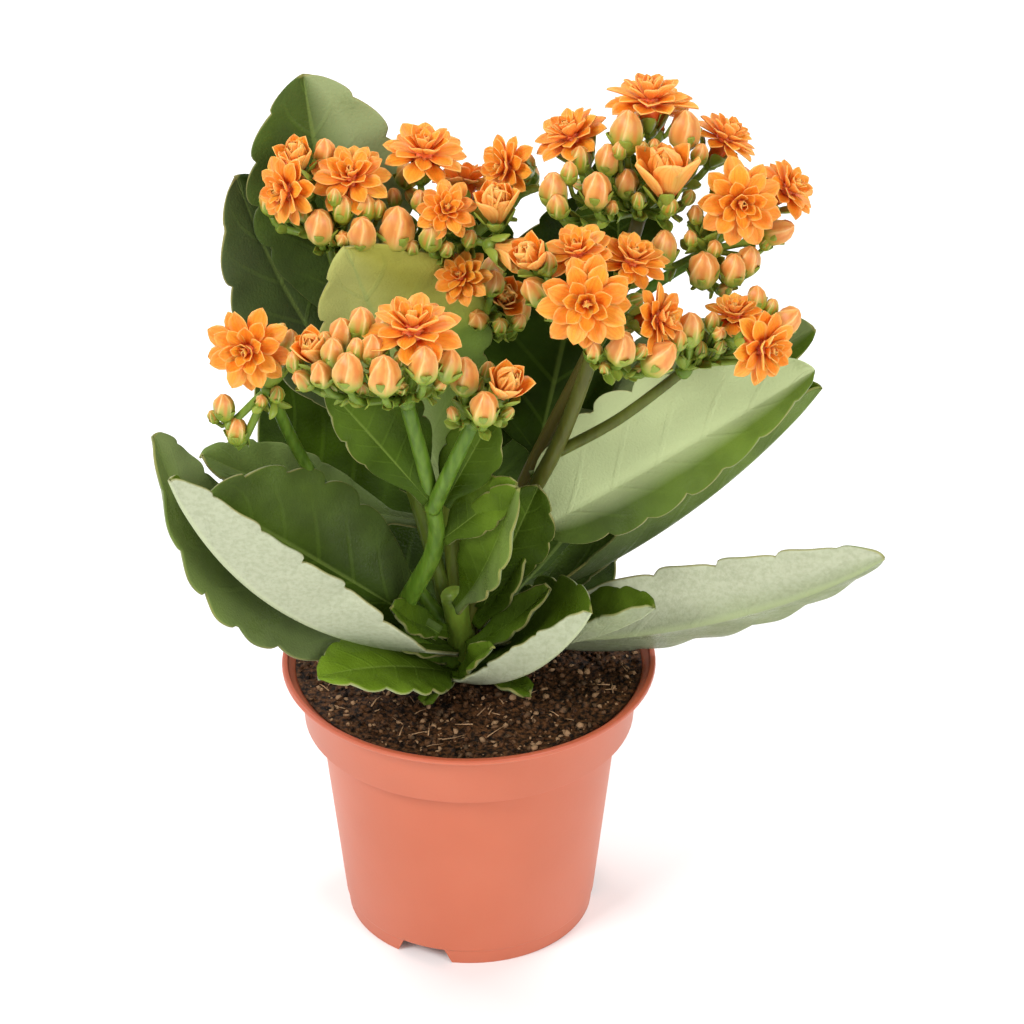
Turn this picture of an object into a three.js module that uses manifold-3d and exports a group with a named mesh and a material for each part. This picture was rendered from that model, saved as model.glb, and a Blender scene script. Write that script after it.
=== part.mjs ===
// A double-flowered kalanchoe in a thin-walled plastic grower's pot.
// Millimetres, +Z up. The origin is the centre of the pot's foot, on the surface it stands on.
// The photographed front of the plant faces -Y.
import * as THREE from "three";
import { mergeVertices } from "three/addons/utils/BufferGeometryUtils.js";
import Module from "manifold-3d";

const wasm = await Module();
wasm.setup();

// ---------------------------------------------------------------- driving dimensions

// Pot: a 10.5 cm grower's pot with a flared lip, a band and a notched foot.
const POT_HEIGHT = 81;
const LIP_RADIUS = 52.5;
const BAND_RADIUS = 47.6;
const BAND_FOOT_RADIUS = 46.4;
const BAND_HEIGHT = 18.5;
const BODY_TOP_RADIUS = 42;
const FOOT_RADIUS = 35;
const WALL = 1.2;
const FLOOR_HEIGHT = 5;
const CENTRE_PAD_RADIUS = 12;
const NOTCH_HEIGHT = 4.6;
const NOTCH_TOP_WIDTH = 12.5;
const NOTCH_FOOT_WIDTH = 17.5;
const NOTCH_COUNT = 3;
const FIRST_NOTCH_DEG = -111.7; // seen at the front, left of centre
const FLARE_HEIGHT = 4.5; // of the lip above the band
const FLARE_INSET = 1.7; // from the lip's outside to its inside
const DRAIN_RADIUS = 3;
const DRAIN_COUNT = 6;
const DRAIN_CIRCLE = 23;
const POT_SIDES = 32;

// Soil: moist peat, a little below the lip and heaped towards the stem.
const SOIL_EDGE = 78;
const SOIL_HEAP = 1.5;
const SOIL_ROUGHNESS = 0.8;
const SOIL_SIDES = 22;
const SOIL_RINGS = 4;

// Clearance between neighbouring pieces, and how far a cut piece's surface may be smoothed to drop slivers.
const GAP = 0.35;
const SLIVER = 0.05;

// The trunk, as a line of points from inside the soil, and its radius at each end.
const TRUNK = { path: [[-1, -4, 52], [-1, -4, 72], [-2, -7, 92], [-4, -11, 108]], radii: [4.6, 3.6] };
const STEM_HOLE_RADIUS = 5.6;
const STEM_HOLE_CENTRE = [-1.2, -4.6];
const STEM_HOLE_FLOOR = 50;
const STEM_SIDES = 6;
const STEM_STEPS = 4;

// Leaves: where the stalk leaves the stem, where the tip is, and a direction that the upper side faces.
// halves are the widths to the left and right of the midrib, seen from above with the tip away.
// folds are how steeply those halves rise, in degrees.
// arch and sweep bow the midrib, towards the upper side and to the right.
// lobedFrom and widest, where given, are the shares at which the lobes begin and the blade is widest.
const LEAVES = [
  { name: "leaf_top_left", base: [-25, 8, 172], tip: [-43, 22, 249], faces: [0.1, -0.9, 0.4],
    halves: [21, 23], folds: [8, 8], arch: -3, sweep: -2, lobes: 5 },
  { name: "leaf_back_left", base: [-18, 6, 146], tip: [-61, 14, 223], faces: [0.35, -0.75, 0.5],
    halves: [17, 18], folds: [5, 10], arch: -4, sweep: -4, lobes: 5 },
  { name: "leaf_olive", base: [-5, 2, 133], tip: [-31, -14, 216], faces: [0.1, -0.8, 0.6],
    halves: [18, 29], folds: [5, 10], arch: -4, sweep: 0, lobes: 6 },
  { name: "leaf_left_inner", base: [-8, -18, 100], tip: [-68, -38, 155], faces: [0.2, -0.8, 0.55],
    halves: [12, 22], folds: [10, 5], arch: -6, sweep: 1, lobes: 5, widest: 0.5 },
  { name: "leaf_left_folded", base: [-4, -10, 89], tip: [-76, -52, 169], faces: [0.6, 0.3, 0.7],
    halves: [21, 8], folds: [56, 50], arch: -14, sweep: 0, lobes: 6, lobedFrom: 0.2, widest: 0.42 },
  { name: "leaf_left_low", base: [-6, -9, 86], tip: [-82, -30, 169], faces: [0.5, -0.3, 0.75],
    halves: [20, 16], folds: [5, 20], arch: -19, sweep: -3, lobes: 6 },
  { name: "leaf_front_left", base: [-3, -10, 81], tip: [-40, -37, 98], faces: [-0.1, -0.2, 0.95],
    halves: [17, 14], folds: [8, 8], arch: 3, sweep: 0, lobes: 5, widest: 0.5 },
  { name: "leaf_front_right", base: [3, -8, 91], tip: [50, -31, 117], faces: [-0.35, 0, 0.95],
    halves: [15, 7], folds: [25, 60], arch: -5, sweep: 0, lobes: 5, widest: 0.5 },
  { name: "leaf_front", base: [-6, -12, 82], tip: [33, -36, 119], faces: [-0.45, 0.3, 0.85],
    halves: [27, 9], folds: [42, 62], arch: -7, sweep: 3, lobes: 5, lobedFrom: 0.2, widest: 0.45 },
  { name: "leaf_right_low", base: [5, -4, 90], tip: [112, -27, 130], faces: [0, 0.95, 0.35],
    halves: [18, 21], folds: [25, 12], arch: 0, sweep: -12, lobes: 5, widest: 0.44 },
  { name: "leaf_right_big", base: [12, -15, 127], tip: [92, -14, 180], faces: [-0.1, -0.86, 0.5],
    halves: [23, 13], folds: [3, 15], arch: 0, sweep: 1, lobes: 7, lobedFrom: 0.14, widest: 0.38 },
  { name: "leaf_right_under", base: [6, -4, 98], tip: [95, -1, 168], faces: [-0.6, 0, 0.8],
    halves: [17, 14], folds: [50, 60], arch: -8, sweep: 0, lobes: 5 },
  { name: "leaf_centre", base: [-6, -29, 137], tip: [13, -38, 159], faces: [-0.1, -0.8, 0.6],
    halves: [8, 6], folds: [5, 10], arch: 0, sweep: 0, lobes: 4, widest: 0.5 },
  { name: "leaf_centre_low", base: [-3, -16, 107], tip: [13, -42, 160], faces: [-0.75, -0.5, 0.4],
    halves: [11, 11], folds: [35, 12], arch: 0, sweep: 3, lobes: 4, widest: 0.6 },
  { name: "leaf_centre_right", base: [4, -11, 104], tip: [19, -24, 150], faces: [0, -0.95, 0.3],
    halves: [11, 10], folds: [10, 15], arch: 0, sweep: 0, lobes: 4, widest: 0.6 },
  { name: "leaf_fork_left", base: [-10, -36, 153], tip: [-35, -38, 187], faces: [0.2, -0.9, 0.3],
    halves: [7, 16], folds: [8, 8], arch: 0, sweep: 0, lobes: 4 },
  { name: "leaf_fork_right", base: [-6, -33, 150], tip: [7, -32, 176], faces: [-0.1, -0.9, 0.4],
    halves: [8, 8], folds: [5, 5], arch: 0, sweep: 0, lobes: 3 },
  { name: "leaf_left_middle", base: [-14, 5, 122], tip: [-71, -12, 153], faces: [0, -0.4, 0.9],
    halves: [13, 13], folds: [10, 10], arch: -4, sweep: 0, lobes: 5 },
  { name: "leaf_right_back", base: [17, 4, 138], tip: [93, 4, 183], faces: [-0.3, -0.6, 0.7],
    halves: [21, 14], folds: [10, 10], arch: -3, sweep: 0, lobes: 5, widest: 0.42 },
  { name: "leaf_right_upper", base: [41, 9, 186], tip: [40, 19, 229], faces: [0, -0.9, 0.3],
    halves: [12, 13], folds: [8, 8], arch: 0, sweep: 0, lobes: 4 },
  { name: "leaf_rear_left", base: [-5, -2, 88], tip: [-58, 46, 148], faces: [0.5, -0.5, 0.7],
    halves: [22, 22], folds: [15, 15], arch: -10, sweep: 0, lobes: 4, widest: 0.42 },
  { name: "leaf_rear", base: [-2, -1, 86], tip: [-6, 74, 138], faces: [0, -0.5, 0.8],
    halves: [27, 28], folds: [15, 15], arch: -10, sweep: 0, lobes: 4, widest: 0.52 },
  { name: "leaf_rear_low", base: [2, -2, 84], tip: [40, 34, 101], faces: [-0.3, -0.3, 0.9],
    halves: [17, 18], folds: [15, 15], arch: -4, sweep: 0, lobes: 4, widest: 0.5 },
  { name: "leaf_rear_right", base: [3, -1, 91], tip: [60, 50, 156], faces: [-0.5, -0.5, 0.7],
    halves: [22, 22], folds: [15, 15], arch: -10, sweep: 0, lobes: 4, widest: 0.42 },
  { name: "leaf_rear_upper_left", base: [-4, 8, 129], tip: [-1, 46, 202], faces: [0.05, -0.8, 0.4],
    halves: [26, 27], folds: [12, 12], arch: -5, sweep: 0, lobes: 4, widest: 0.45 },
  { name: "leaf_rear_upper_right", base: [17, 8, 133], tip: [34, 30, 210], faces: [-0.2, -0.8, 0.4],
    halves: [25, 18], folds: [12, 12], arch: -5, sweep: 0, lobes: 4, widest: 0.45 },
];
const LEAF_THICKNESS = 1.6;
const EDGE_THICKNESS = 0.8;
const STALK_HALF_WIDTH = 2.2;
const STALK_SHARE = 0.1; // of the leaf's length
const WIDEST_SHARE = 0.54; // of the blade, from its stalk
const LOBES_START = 0.3; // the margin is smooth below this share of the length
const LOBE_DEPTH = 0.16; // of the half width

// Flower heads: the stem that carries each, up to the knuckle where the flower stalks part, then the open
// blooms, the half-open ones and the buds. A flower is [x, y, z, compass, rise, radius]: compass 0 faces the
// front and 90 faces +X, and rise is the angle above the horizon.
const HEADS = [
  {
    name: "left", radii: [2.4, 1.8],
    stem: [[-3, -6, 88], [-14, 3, 130], [-28, 7, 175], [-36, 3, 209]],
    blooms: [[-46, -4, 228, -50, 12, 10], [-30, 0, 229, -5, 60, 11]],
    halves: [[-44, 4, 232, -20, 70, 4.2]],
    buds: [
      [-37, 6, 234, 0, 80, 3.1], [-38, -9, 220, -15, 55, 3.9], [-27, -11, 219, 0, 50, 3.9],
      [-32, -7, 224, -15, 65, 3], [-30, 14, 227, 170, 55, 3.2], [-52, 8, 219, -110, 60, 3],
      [-26, -6, 224, 10, 60, 2.8],
    ],
  },
  {
    name: "middle", radii: [2.4, 1.8],
    stem: [[-3, -5, 90], [-5, 7, 140], [-2, 9, 180], [0, 6, 207]],
    blooms: [
      [-11, 8, 232, 35, 78, 11.6], [-5, -8, 224, 10, 45, 8.6], [11, 7, 229, -50, 25, 9.4],
      [0, 17, 219, 170, 50, 9.5],
    ],
    halves: [[8, -9, 224, -5, 75, 4.8], [10, -13, 215, 60, -5, 4.3]],
    buds: [
      [-18, -8, 219, 20, 60, 4.8], [-9, -11, 218, 0, 50, 3.2], [-16, 15, 223, -10, 35, 3.2],
      [16, 17, 221, 110, 40, 3.4],
    ],
  },
  {
    name: "right", radii: [2.6, 1.9],
    stem: [[-2, -5, 86], [14, 5, 130], [36, 8, 180], [46, 4, 217]],
    blooms: [
      [48, 8, 247, 0, 98, 12.3], [28, 8, 237, -80, 65, 10.5], [68, 9, 236, 90, 60, 9.8],
      [51, 25, 237, 170, 45, 10],
    ],
    halves: [[52, -10, 233, 0, 85, 6.2]],
    buds: [
      [42, -2, 244, -10, 82, 4.5], [57, 1, 243, 15, 80, 4.2], [34, -12, 232, -10, 62, 3.9],
      [23, -8, 230, -50, 60, 3.9], [42, -4, 230, 10, 60, 3.2], [37, -4, 237, -15, 70, 3.3],
      [31, 18, 229, -150, 45, 3.2], [30, 0, 235, -50, 60, 2.9], [24, -11, 227, -30, 45, 3],
    ],
  },
  {
    name: "right_outer", radii: [1.6, 1.4],
    stem: [[37, 8, 182], [50, 4, 196], [63, -5, 210]],
    blooms: [[71, -13, 229, 8, 18, 11.8], [84, 0, 226, 70, 45, 9]],
    halves: [],
    buds: [
      [62, -14, 210, 0, 50, 4.2], [70, -12, 209, 20, 55, 3.6], [82, -6, 217, 75, 5, 3.4],
      [52, -9, 214, -10, 70, 3.7], [74, -9, 210, 55, 55, 3.3], [73, 12, 222, 150, 40, 3.4],
    ],
  },
  {
    name: "centre", radii: [2.5, 1.9],
    stem: [[-2, -7, 92], [10, -12, 126], [24, -20, 160], [33, -30, 193]],
    blooms: [
      [31, -46, 217, 0, 22, 12.2], [49, -38, 208, 60, 18, 9.4], [43, -24, 217, 40, 70, 9.8],
      [29, -27, 221, -30, 68, 9.6],
    ],
    halves: [[18, -33, 222, -50, 50, 4]],
    buds: [
      [40, -46, 204, 5, 45, 4], [50, -42, 199, 70, 30, 4.3], [18, -36, 215, -60, 30, 3.5],
      [33, -14, 207, 180, 30, 3.4], [21, -34, 222, -30, 60, 2.6],
    ],
  },
  {
    name: "right_low", radii: [1.7, 1.4],
    stem: [[22, -18, 156], [40, -23, 170], [57, -27, 187]],
    blooms: [[76, -40, 201, 40, 8, 10.4], [70, -24, 201, -10, 85, 8.4]],
    halves: [],
    buds: [[58, -34, 203, -10, 75, 3.6], [84, -18, 197, 70, 25, 3.6], [76, -15, 202, 20, 65, 2.8]],
  },
  {
    name: "front", radii: [3.1, 1.9],
    stem: [[-3, -7, 84], [-19, -14, 99], [-9, -26, 131], [-9, -33, 151], [-15, -46, 188]],
    blooms: [[-13, -53, 212, 0, 78, 12.6]],
    halves: [[-38, -50, 204, -40, 65, 3.9]],
    buds: [
      [-20, -64, 206, 0, 58, 4.3], [-10, -62, 208, 10, 58, 4], [-29, -62, 206, -15, 58, 4.1],
      [-36, -58, 203, -30, 45, 3.1], [-26, -50, 213, -15, 75, 3.6], [-31, -50, 210, -35, 70, 3.5],
      [-33, -56, 208, -30, 60, 3.2], [-4, -55, 204, 55, 55, 3.6], [-20, -38, 206, 170, 40, 3.4],
      [-23, -58, 210, -5, 65, 3.2], [-27, -58, 210, -10, 70, 2.5], [-43, -50, 202, -60, 50, 2.5],
      [-41, -52, 198, -55, 25, 2.7],
    ],
  },
  {
    name: "front_right", radii: [2.3, 1.8],
    stem: [[-9, -34, 149], [-4, -41, 165], [2, -44, 181]],
    blooms: [],
    halves: [[10, -50, 194, 40, 62, 4.3]],
    buds: [[0, -48, 197, -15, 75, 4], [5, -56, 192, 0, 55, 3.8], [3, -44, 192, 10, 60, 2.5]],
  },
  {
    name: "far_left", radii: [2.1, 1.6],
    stem: [[-3, -7, 92], [-24, -7, 121], [-42, -14, 149], [-51, -34, 185]],
    blooms: [[-55, -43, 202, -15, 18, 11.4]],
    halves: [],
    buds: [[-63, -34, 180, -40, 60, 2.9], [-60, -34, 173, -10, 65, 3], [-46, -28, 195, 150, 45, 3.2]],
  },
  {
    name: "rear", radii: [1.7, 1.4],
    stem: [[-3, 8, 148], [1, 14, 162], [3, 17, 173]],
    blooms: [[-1, -7, 204, -20, 42, 8.4]],
    halves: [[10, 6, 191, 15, 40, 4]],
    buds: [
      [7, -4, 201, 20, 45, 3.2], [3, 2, 187, -10, 20, 3], [14, 16, 182, 60, 40, 3.4],
      [7, 26, 189, 160, 45, 3.4],
    ],
  },
];
const BLOOM_NECK = 7; // from the spread of the petals down to the green cup
const TUBE_RADIUS = 1.6;
const CUP_RADIUS = 2.8;
const STALK_RADIUS = 1.1;
const KNUCKLE_RADIUS = 3.2;
const BUD_SLENDERNESS = 1.35; // half its length over its radius
const BUD_LIFT = 25; // degrees that a bud stands more upright than the flowers beside it
const STEEPEST = 88;

// Finishes, as seen in the photograph.
const FINISH = {
  pot: new THREE.MeshStandardMaterial({ color: 0xdf8263, roughness: 0.45, metalness: 0 }),
  soil: new THREE.MeshStandardMaterial({ color: 0x3a2518, roughness: 1, metalness: 0 }),
  stem: new THREE.MeshStandardMaterial({ color: 0x5d9428, roughness: 0.5, metalness: 0 }),
  leaf: new THREE.MeshStandardMaterial({ color: 0x3f6e22, roughness: 0.4, metalness: 0 }),
  bud: new THREE.MeshStandardMaterial({ color: 0xb9b04e, roughness: 0.55, metalness: 0 }),
  petal: new THREE.MeshStandardMaterial({ color: 0xf68a2c, roughness: 0.55, metalness: 0 }),
};

// ---------------------------------------------------------------- helpers

const degrees = THREE.MathUtils.degToRad;
const vector = (xyz) => new THREE.Vector3(...xyz);

// A closed three.js geometry as a solid that can be cut and joined.
function solidOf(geometry) {
  const bare = geometry.clone();
  bare.deleteAttribute("normal");
  bare.deleteAttribute("uv");
  const merged = mergeVertices(bare, 1e-4);
  return new wasm.Manifold(new wasm.Mesh({
    numProp: 3,
    vertProperties: new Float32Array(merged.attributes.position.array),
    triVerts: new Uint32Array(merged.index.array),
  }));
}

function geometryOf(solid) {
  const mesh = solid.getMesh();
  const geometry = new THREE.BufferGeometry();
  geometry.setAttribute("position", new THREE.BufferAttribute(new Float32Array(mesh.vertProperties), 3));
  geometry.setIndex(new THREE.BufferAttribute(new Uint32Array(mesh.triVerts), 1));
  return geometry;
}

const largestBody = (solid) => solid.decompose().reduce((a, b) => (a.volume() > b.volume() ? a : b));
const joined = (solids) => wasm.Manifold.union(solids);

// A profile of [radius, height] points turned about the Z axis.
function turned(profile, sides) {
  const points = profile.map(([radius, height]) => new THREE.Vector2(radius, height));
  return new THREE.LatheGeometry(points, sides).rotateX(Math.PI / 2);
}

// A round bar through a row of points with a radius at each. A last radius of 0 brings it to a point.
function bar(points, radii, sides) {
  const last = points.length - 1;
  const shape = new THREE.CylinderGeometry(radii[last] > 0 ? 1 : 0, 1, 1, sides, last);
  const tangents = points.map((_, i) => points[Math.min(i + 1, last)].clone()
    .sub(points[Math.max(i - 1, 0)]).normalize());
  const normals = [new THREE.Vector3(0.3, 0.9, 0.1)];
  tangents.forEach((tangent, i) => {
    const before = normals[Math.max(i - 1, 0)];
    normals[i] = before.clone().addScaledVector(tangent, -before.dot(tangent)).normalize();
  });
  const place = shape.attributes.position;
  for (let i = 0; i < place.count; i++) {
    const row = Math.round((place.getY(i) + 0.5) * last);
    const [x, z] = [place.getX(i), place.getZ(i)];
    const size = Math.hypot(x, z) > 1e-6 ? radii[row] / Math.hypot(x, z) : 0;
    const side = new THREE.Vector3().crossVectors(tangents[row], normals[row]);
    const point = points[row].clone().addScaledVector(normals[row], x * size);
    place.setXYZ(i, ...point.addScaledVector(side, -z * size));
  }
  return shape;
}

// The same bar along a smooth curve through the points, thinning evenly, and cut short at its end.
function bentBar(path, [from, to], sides, grow = 0, short = 0) {
  const points = new THREE.CatmullRomCurve3(path.map(vector)).getSpacedPoints(STEM_STEPS);
  const [before, end] = points.slice(-2);
  end.addScaledVector(end.clone().sub(before).normalize(), grow - short);
  return bar(points, points.map((_, i) => THREE.MathUtils.lerp(from, to, i / STEM_STEPS) + grow), sides);
}

// A thin plate around a surface: rows of points, each with the surface's normal and half its thickness.
// Both faces are split into triangles alike, and a rim closes them.
function plate(rows) {
  const across = rows[0].length;
  const count = rows.length * across;
  const positions = new Float32Array(count * 6);
  rows.flat().forEach(({ point, normal, half }, i) => {
    point.clone().addScaledVector(normal, half).toArray(positions, i * 3);
    point.clone().addScaledVector(normal, -half).toArray(positions, (count + i) * 3);
  });
  const index = [];
  const quad = (a, b, c, d) => index.push(a, b, c, a, c, d);
  for (let i = 0; i + 1 < rows.length; i++) {
    for (let j = 0; j + 1 < across; j++) {
      const [a, b] = [i * across + j, i * across + j + 1];
      const [c, d] = [b + across, a + across];
      index.push(a, b, c, a, c, d);
      index.push(count + a, count + c, count + b, count + a, count + d, count + c);
    }
  }
  const rim = [];
  for (let j = 0; j < across; j++) rim.push(j);
  for (let i = 1; i < rows.length; i++) rim.push(i * across + across - 1);
  for (let j = across - 2; j >= 0; j--) rim.push((rows.length - 1) * across + j);
  for (let i = rows.length - 2; i > 0; i--) rim.push(i * across);
  rim.forEach((a, k) => {
    const b = rim[(k + 1) % rim.length];
    quad(a, count + a, count + b, b);
  });
  const geometry = new THREE.BufferGeometry();
  geometry.setAttribute("position", new THREE.BufferAttribute(positions, 3));
  geometry.setIndex(index);
  return geometry;
}

// ---------------------------------------------------------------- pot and soil

function potSolid() {
  const band = POT_HEIGHT - BAND_HEIGHT;
  const outside = [
    [0, 0], [CENTRE_PAD_RADIUS, 0], [CENTRE_PAD_RADIUS + 2, FLOOR_HEIGHT], [FOOT_RADIUS - 2.4, FLOOR_HEIGHT],
    [FOOT_RADIUS - 1.8, 0], [FOOT_RADIUS, 0], [FOOT_RADIUS + 0.6, FLOOR_HEIGHT],
    [BODY_TOP_RADIUS, band], [BAND_FOOT_RADIUS, band + 0.6], [BAND_RADIUS, POT_HEIGHT - FLARE_HEIGHT],
    [LIP_RADIUS, POT_HEIGHT - 1.2], [LIP_RADIUS - 0.3, POT_HEIGHT],
  ];
  const inside = [
    [LIP_RADIUS - FLARE_INSET, POT_HEIGHT], [BAND_RADIUS - WALL, POT_HEIGHT - FLARE_HEIGHT],
    [BAND_FOOT_RADIUS - WALL, band + 2], [BODY_TOP_RADIUS - WALL, band + 0.8],
    [FOOT_RADIUS + 0.6 - WALL, FLOOR_HEIGHT + WALL], [CENTRE_PAD_RADIUS + 2.6, FLOOR_HEIGHT + WALL],
    [CENTRE_PAD_RADIUS - 0.6, WALL], [0, WALL],
  ];
  const shell = solidOf(turned([...outside, ...inside], POT_SIDES));
  const cuts = [];
  for (let i = 0; i < NOTCH_COUNT; i++) {
    const outline = new THREE.Shape([
      new THREE.Vector2(-NOTCH_FOOT_WIDTH / 2, -1),
      new THREE.Vector2(NOTCH_FOOT_WIDTH / 2, -1),
      new THREE.Vector2(NOTCH_TOP_WIDTH / 2, NOTCH_HEIGHT),
      new THREE.Vector2(-NOTCH_TOP_WIDTH / 2, NOTCH_HEIGHT),
    ]);
    const notch = new THREE.ExtrudeGeometry(outline, { depth: 12, bevelEnabled: false });
    notch.rotateX(Math.PI / 2).translate(0, FOOT_RADIUS + 6, 0);
    notch.rotateZ(degrees(FIRST_NOTCH_DEG - 90 + (i * 360) / NOTCH_COUNT));
    cuts.push(solidOf(notch));
  }
  for (let i = 0; i < DRAIN_COUNT; i++) {
    const drain = new THREE.CylinderGeometry(DRAIN_RADIUS, DRAIN_RADIUS, 4, 8).rotateX(Math.PI / 2);
    drain.translate(DRAIN_CIRCLE, 0, FLOOR_HEIGHT + WALL / 2).rotateZ(degrees((i * 360) / DRAIN_COUNT));
    cuts.push(solidOf(drain));
  }
  return shell.subtract(joined(cuts));
}

function soilSolid() {
  const band = POT_HEIGHT - BAND_HEIGHT;
  const flare = (LIP_RADIUS - FLARE_INSET - (BAND_RADIUS - WALL)) / FLARE_HEIGHT;
  const edge = BAND_RADIUS - WALL - GAP + flare * (SOIL_EDGE - (POT_HEIGHT - FLARE_HEIGHT));
  const profile = [
    [0, WALL + GAP], [CENTRE_PAD_RADIUS - 1.2, WALL + GAP],
    [CENTRE_PAD_RADIUS + 2.2, FLOOR_HEIGHT + WALL + GAP],
    [FOOT_RADIUS + 0.2 - WALL, FLOOR_HEIGHT + WALL + GAP], [BODY_TOP_RADIUS - WALL - GAP, band + 1.4],
    [BAND_FOOT_RADIUS - WALL - GAP, band + 2.8], [BAND_RADIUS - WALL - GAP, POT_HEIGHT - FLARE_HEIGHT],
    [edge, SOIL_EDGE],
  ];
  for (let i = 1; i < SOIL_RINGS; i++) profile.push([edge * (1 - i / SOIL_RINGS), SOIL_EDGE]);
  profile.push([0, SOIL_EDGE]);
  const soil = turned(profile, SOIL_SIDES);
  const place = soil.attributes.position;
  for (let i = 0; i < place.count; i++) {
    const [x, y, z] = [place.getX(i), place.getY(i), place.getZ(i)];
    const radius = Math.hypot(x, y);
    if (z < SOIL_EDGE - 0.1 || radius > edge - 0.5) continue;
    const heap = SOIL_HEAP * (1 - (radius / edge) ** 2);
    const clods = Math.sin(x * 0.9 + 2 * Math.sin(y * 0.5)) + Math.sin(y * 1.1 + 2 * Math.sin(x * 0.6 + 1));
    place.setZ(i, z + heap + (SOIL_ROUGHNESS * clods) / 2);
  }
  const hole = new THREE.CylinderGeometry(STEM_HOLE_RADIUS, STEM_HOLE_RADIUS, 40, 12).rotateX(Math.PI / 2);
  hole.translate(...STEM_HOLE_CENTRE, STEM_HOLE_FLOOR + 20);
  return solidOf(soil).subtract(solidOf(hole));
}

// ---------------------------------------------------------------- stem and leaves

function stemSolid(grow = 0) {
  const trunk = bentBar(TRUNK.path, TRUNK.radii, STEM_SIDES + 2, grow);
  // Each stem stops a little short of the knuckle that it carries.
  const stems = HEADS.map(({ stem, radii }) => bentBar(stem, radii, STEM_SIDES, grow, KNUCKLE_RADIUS + GAP));
  return joined([trunk, ...stems].map(solidOf));
}

// The blade's half width at a share of the way from stalk to tip, as a share of its widest.
function bladeWidth(share, widest = WIDEST_SHARE) {
  const blade = Math.max(share - STALK_SHARE, 0) / (1 - STALK_SHARE);
  return Math.sin(Math.PI * blade ** (Math.log(0.5) / Math.log(widest))) ** 0.6;
}

// Shares along the leaf at which the margin turns: its smooth lower part, then a notch and a crest a lobe.
function leafStations(lobes, lobedFrom = LOBES_START) {
  const stations = [[0, 1], [STALK_SHARE, 1]];
  const step = (1 - lobedFrom) / (lobes - 0.35);
  for (let i = 0; i < lobes; i++) {
    stations.push([lobedFrom + step * i, i === 0 ? 1 : 1 - LOBE_DEPTH]);
    stations.push([lobedFrom + step * (i + 0.35), 1.02]);
  }
  return [...stations.slice(0, -1), [0.955, 1.02], [1, 1]];
}

// A leaf's middle surface: share runs from stalk to tip, side from -1 at the left margin to 1 at the right.
function leafSurface(leaf) {
  const base = vector(leaf.base);
  const chord = vector(leaf.tip).sub(base);
  const along = chord.clone().normalize();
  const upper = vector(leaf.faces).addScaledVector(along, -along.dot(vector(leaf.faces))).normalize();
  const across = new THREE.Vector3().crossVectors(along, upper);
  return (share, side, lobe = 1, grow = 0) => {
    const bow = 4 * share * (1 - share);
    const half = leaf.halves[side < 0 ? 0 : 1] * bladeWidth(Math.min(share, 0.985), leaf.widest) * lobe;
    const out = Math.max(half, STALK_HALF_WIDTH) + grow;
    const fold = degrees(leaf.folds[side < 0 ? 0 : 1]) * Math.min(1, 0.3 + 1.5 * share);
    return base.clone().addScaledVector(chord, share)
      .addScaledVector(upper, leaf.arch * bow + Math.abs(side) * out * Math.sin(fold))
      .addScaledVector(across, leaf.sweep * bow + side * out * Math.cos(fold));
  };
}

function leafSolid(leaf, grow = 0) {
  const surface = leafSurface(leaf);
  const nudge = 0.01;
  const rows = leafStations(leaf.lobes, leaf.lobedFrom).map(([share, lobe]) => [-1, 0, 1].map((side) => {
    const along = surface(Math.min(share + nudge, 1), 0).sub(surface(Math.max(share - nudge, 0), 0));
    const across = surface(share, Math.min(side + 0.5, 1)).sub(surface(share, Math.max(side - 0.5, -1)));
    const half = (side === 0 ? LEAF_THICKNESS : EDGE_THICKNESS) / 2 + grow;
    return { point: surface(share, side, lobe, grow), normal: across.cross(along).normalize(), half };
  }));
  return solidOf(plate(rows));
}

// ---------------------------------------------------------------- flowers

// Turns a piece made along +Z so that it faces a compass direction and rise, at a point.
function faced(geometry, [x, y, z, compass, rise]) {
  return geometry
    .rotateX(degrees(90 - rise))
    .rotateZ(degrees(compass))
    .translate(x, y, z);
}

function facing([, , , compass, rise]) {
  const flat = Math.cos(degrees(rise));
  const [east, south] = [Math.sin(degrees(compass)), Math.cos(degrees(compass))];
  return new THREE.Vector3(flat * east, -flat * south, Math.sin(degrees(rise)));
}

// Petals: each has its left shoulder, tip and right shoulder at these shares of its sector and of its reach,
// and the shoulders droop or the tip lifts by a share of the reach.
const PETAL = [[0.22, 0.74, -0.02], [0.5, 1, 0.04], [0.78, 0.74, -0.02]];
const PETAL_FACES = [[0, 1, 2], [0, 2, 4], [2, 3, 4]];
const PETAL_THICKNESS = 0.8;
const TUBE_SIDES = 5;
const FULL_TURN = 2 * Math.PI;

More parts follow.
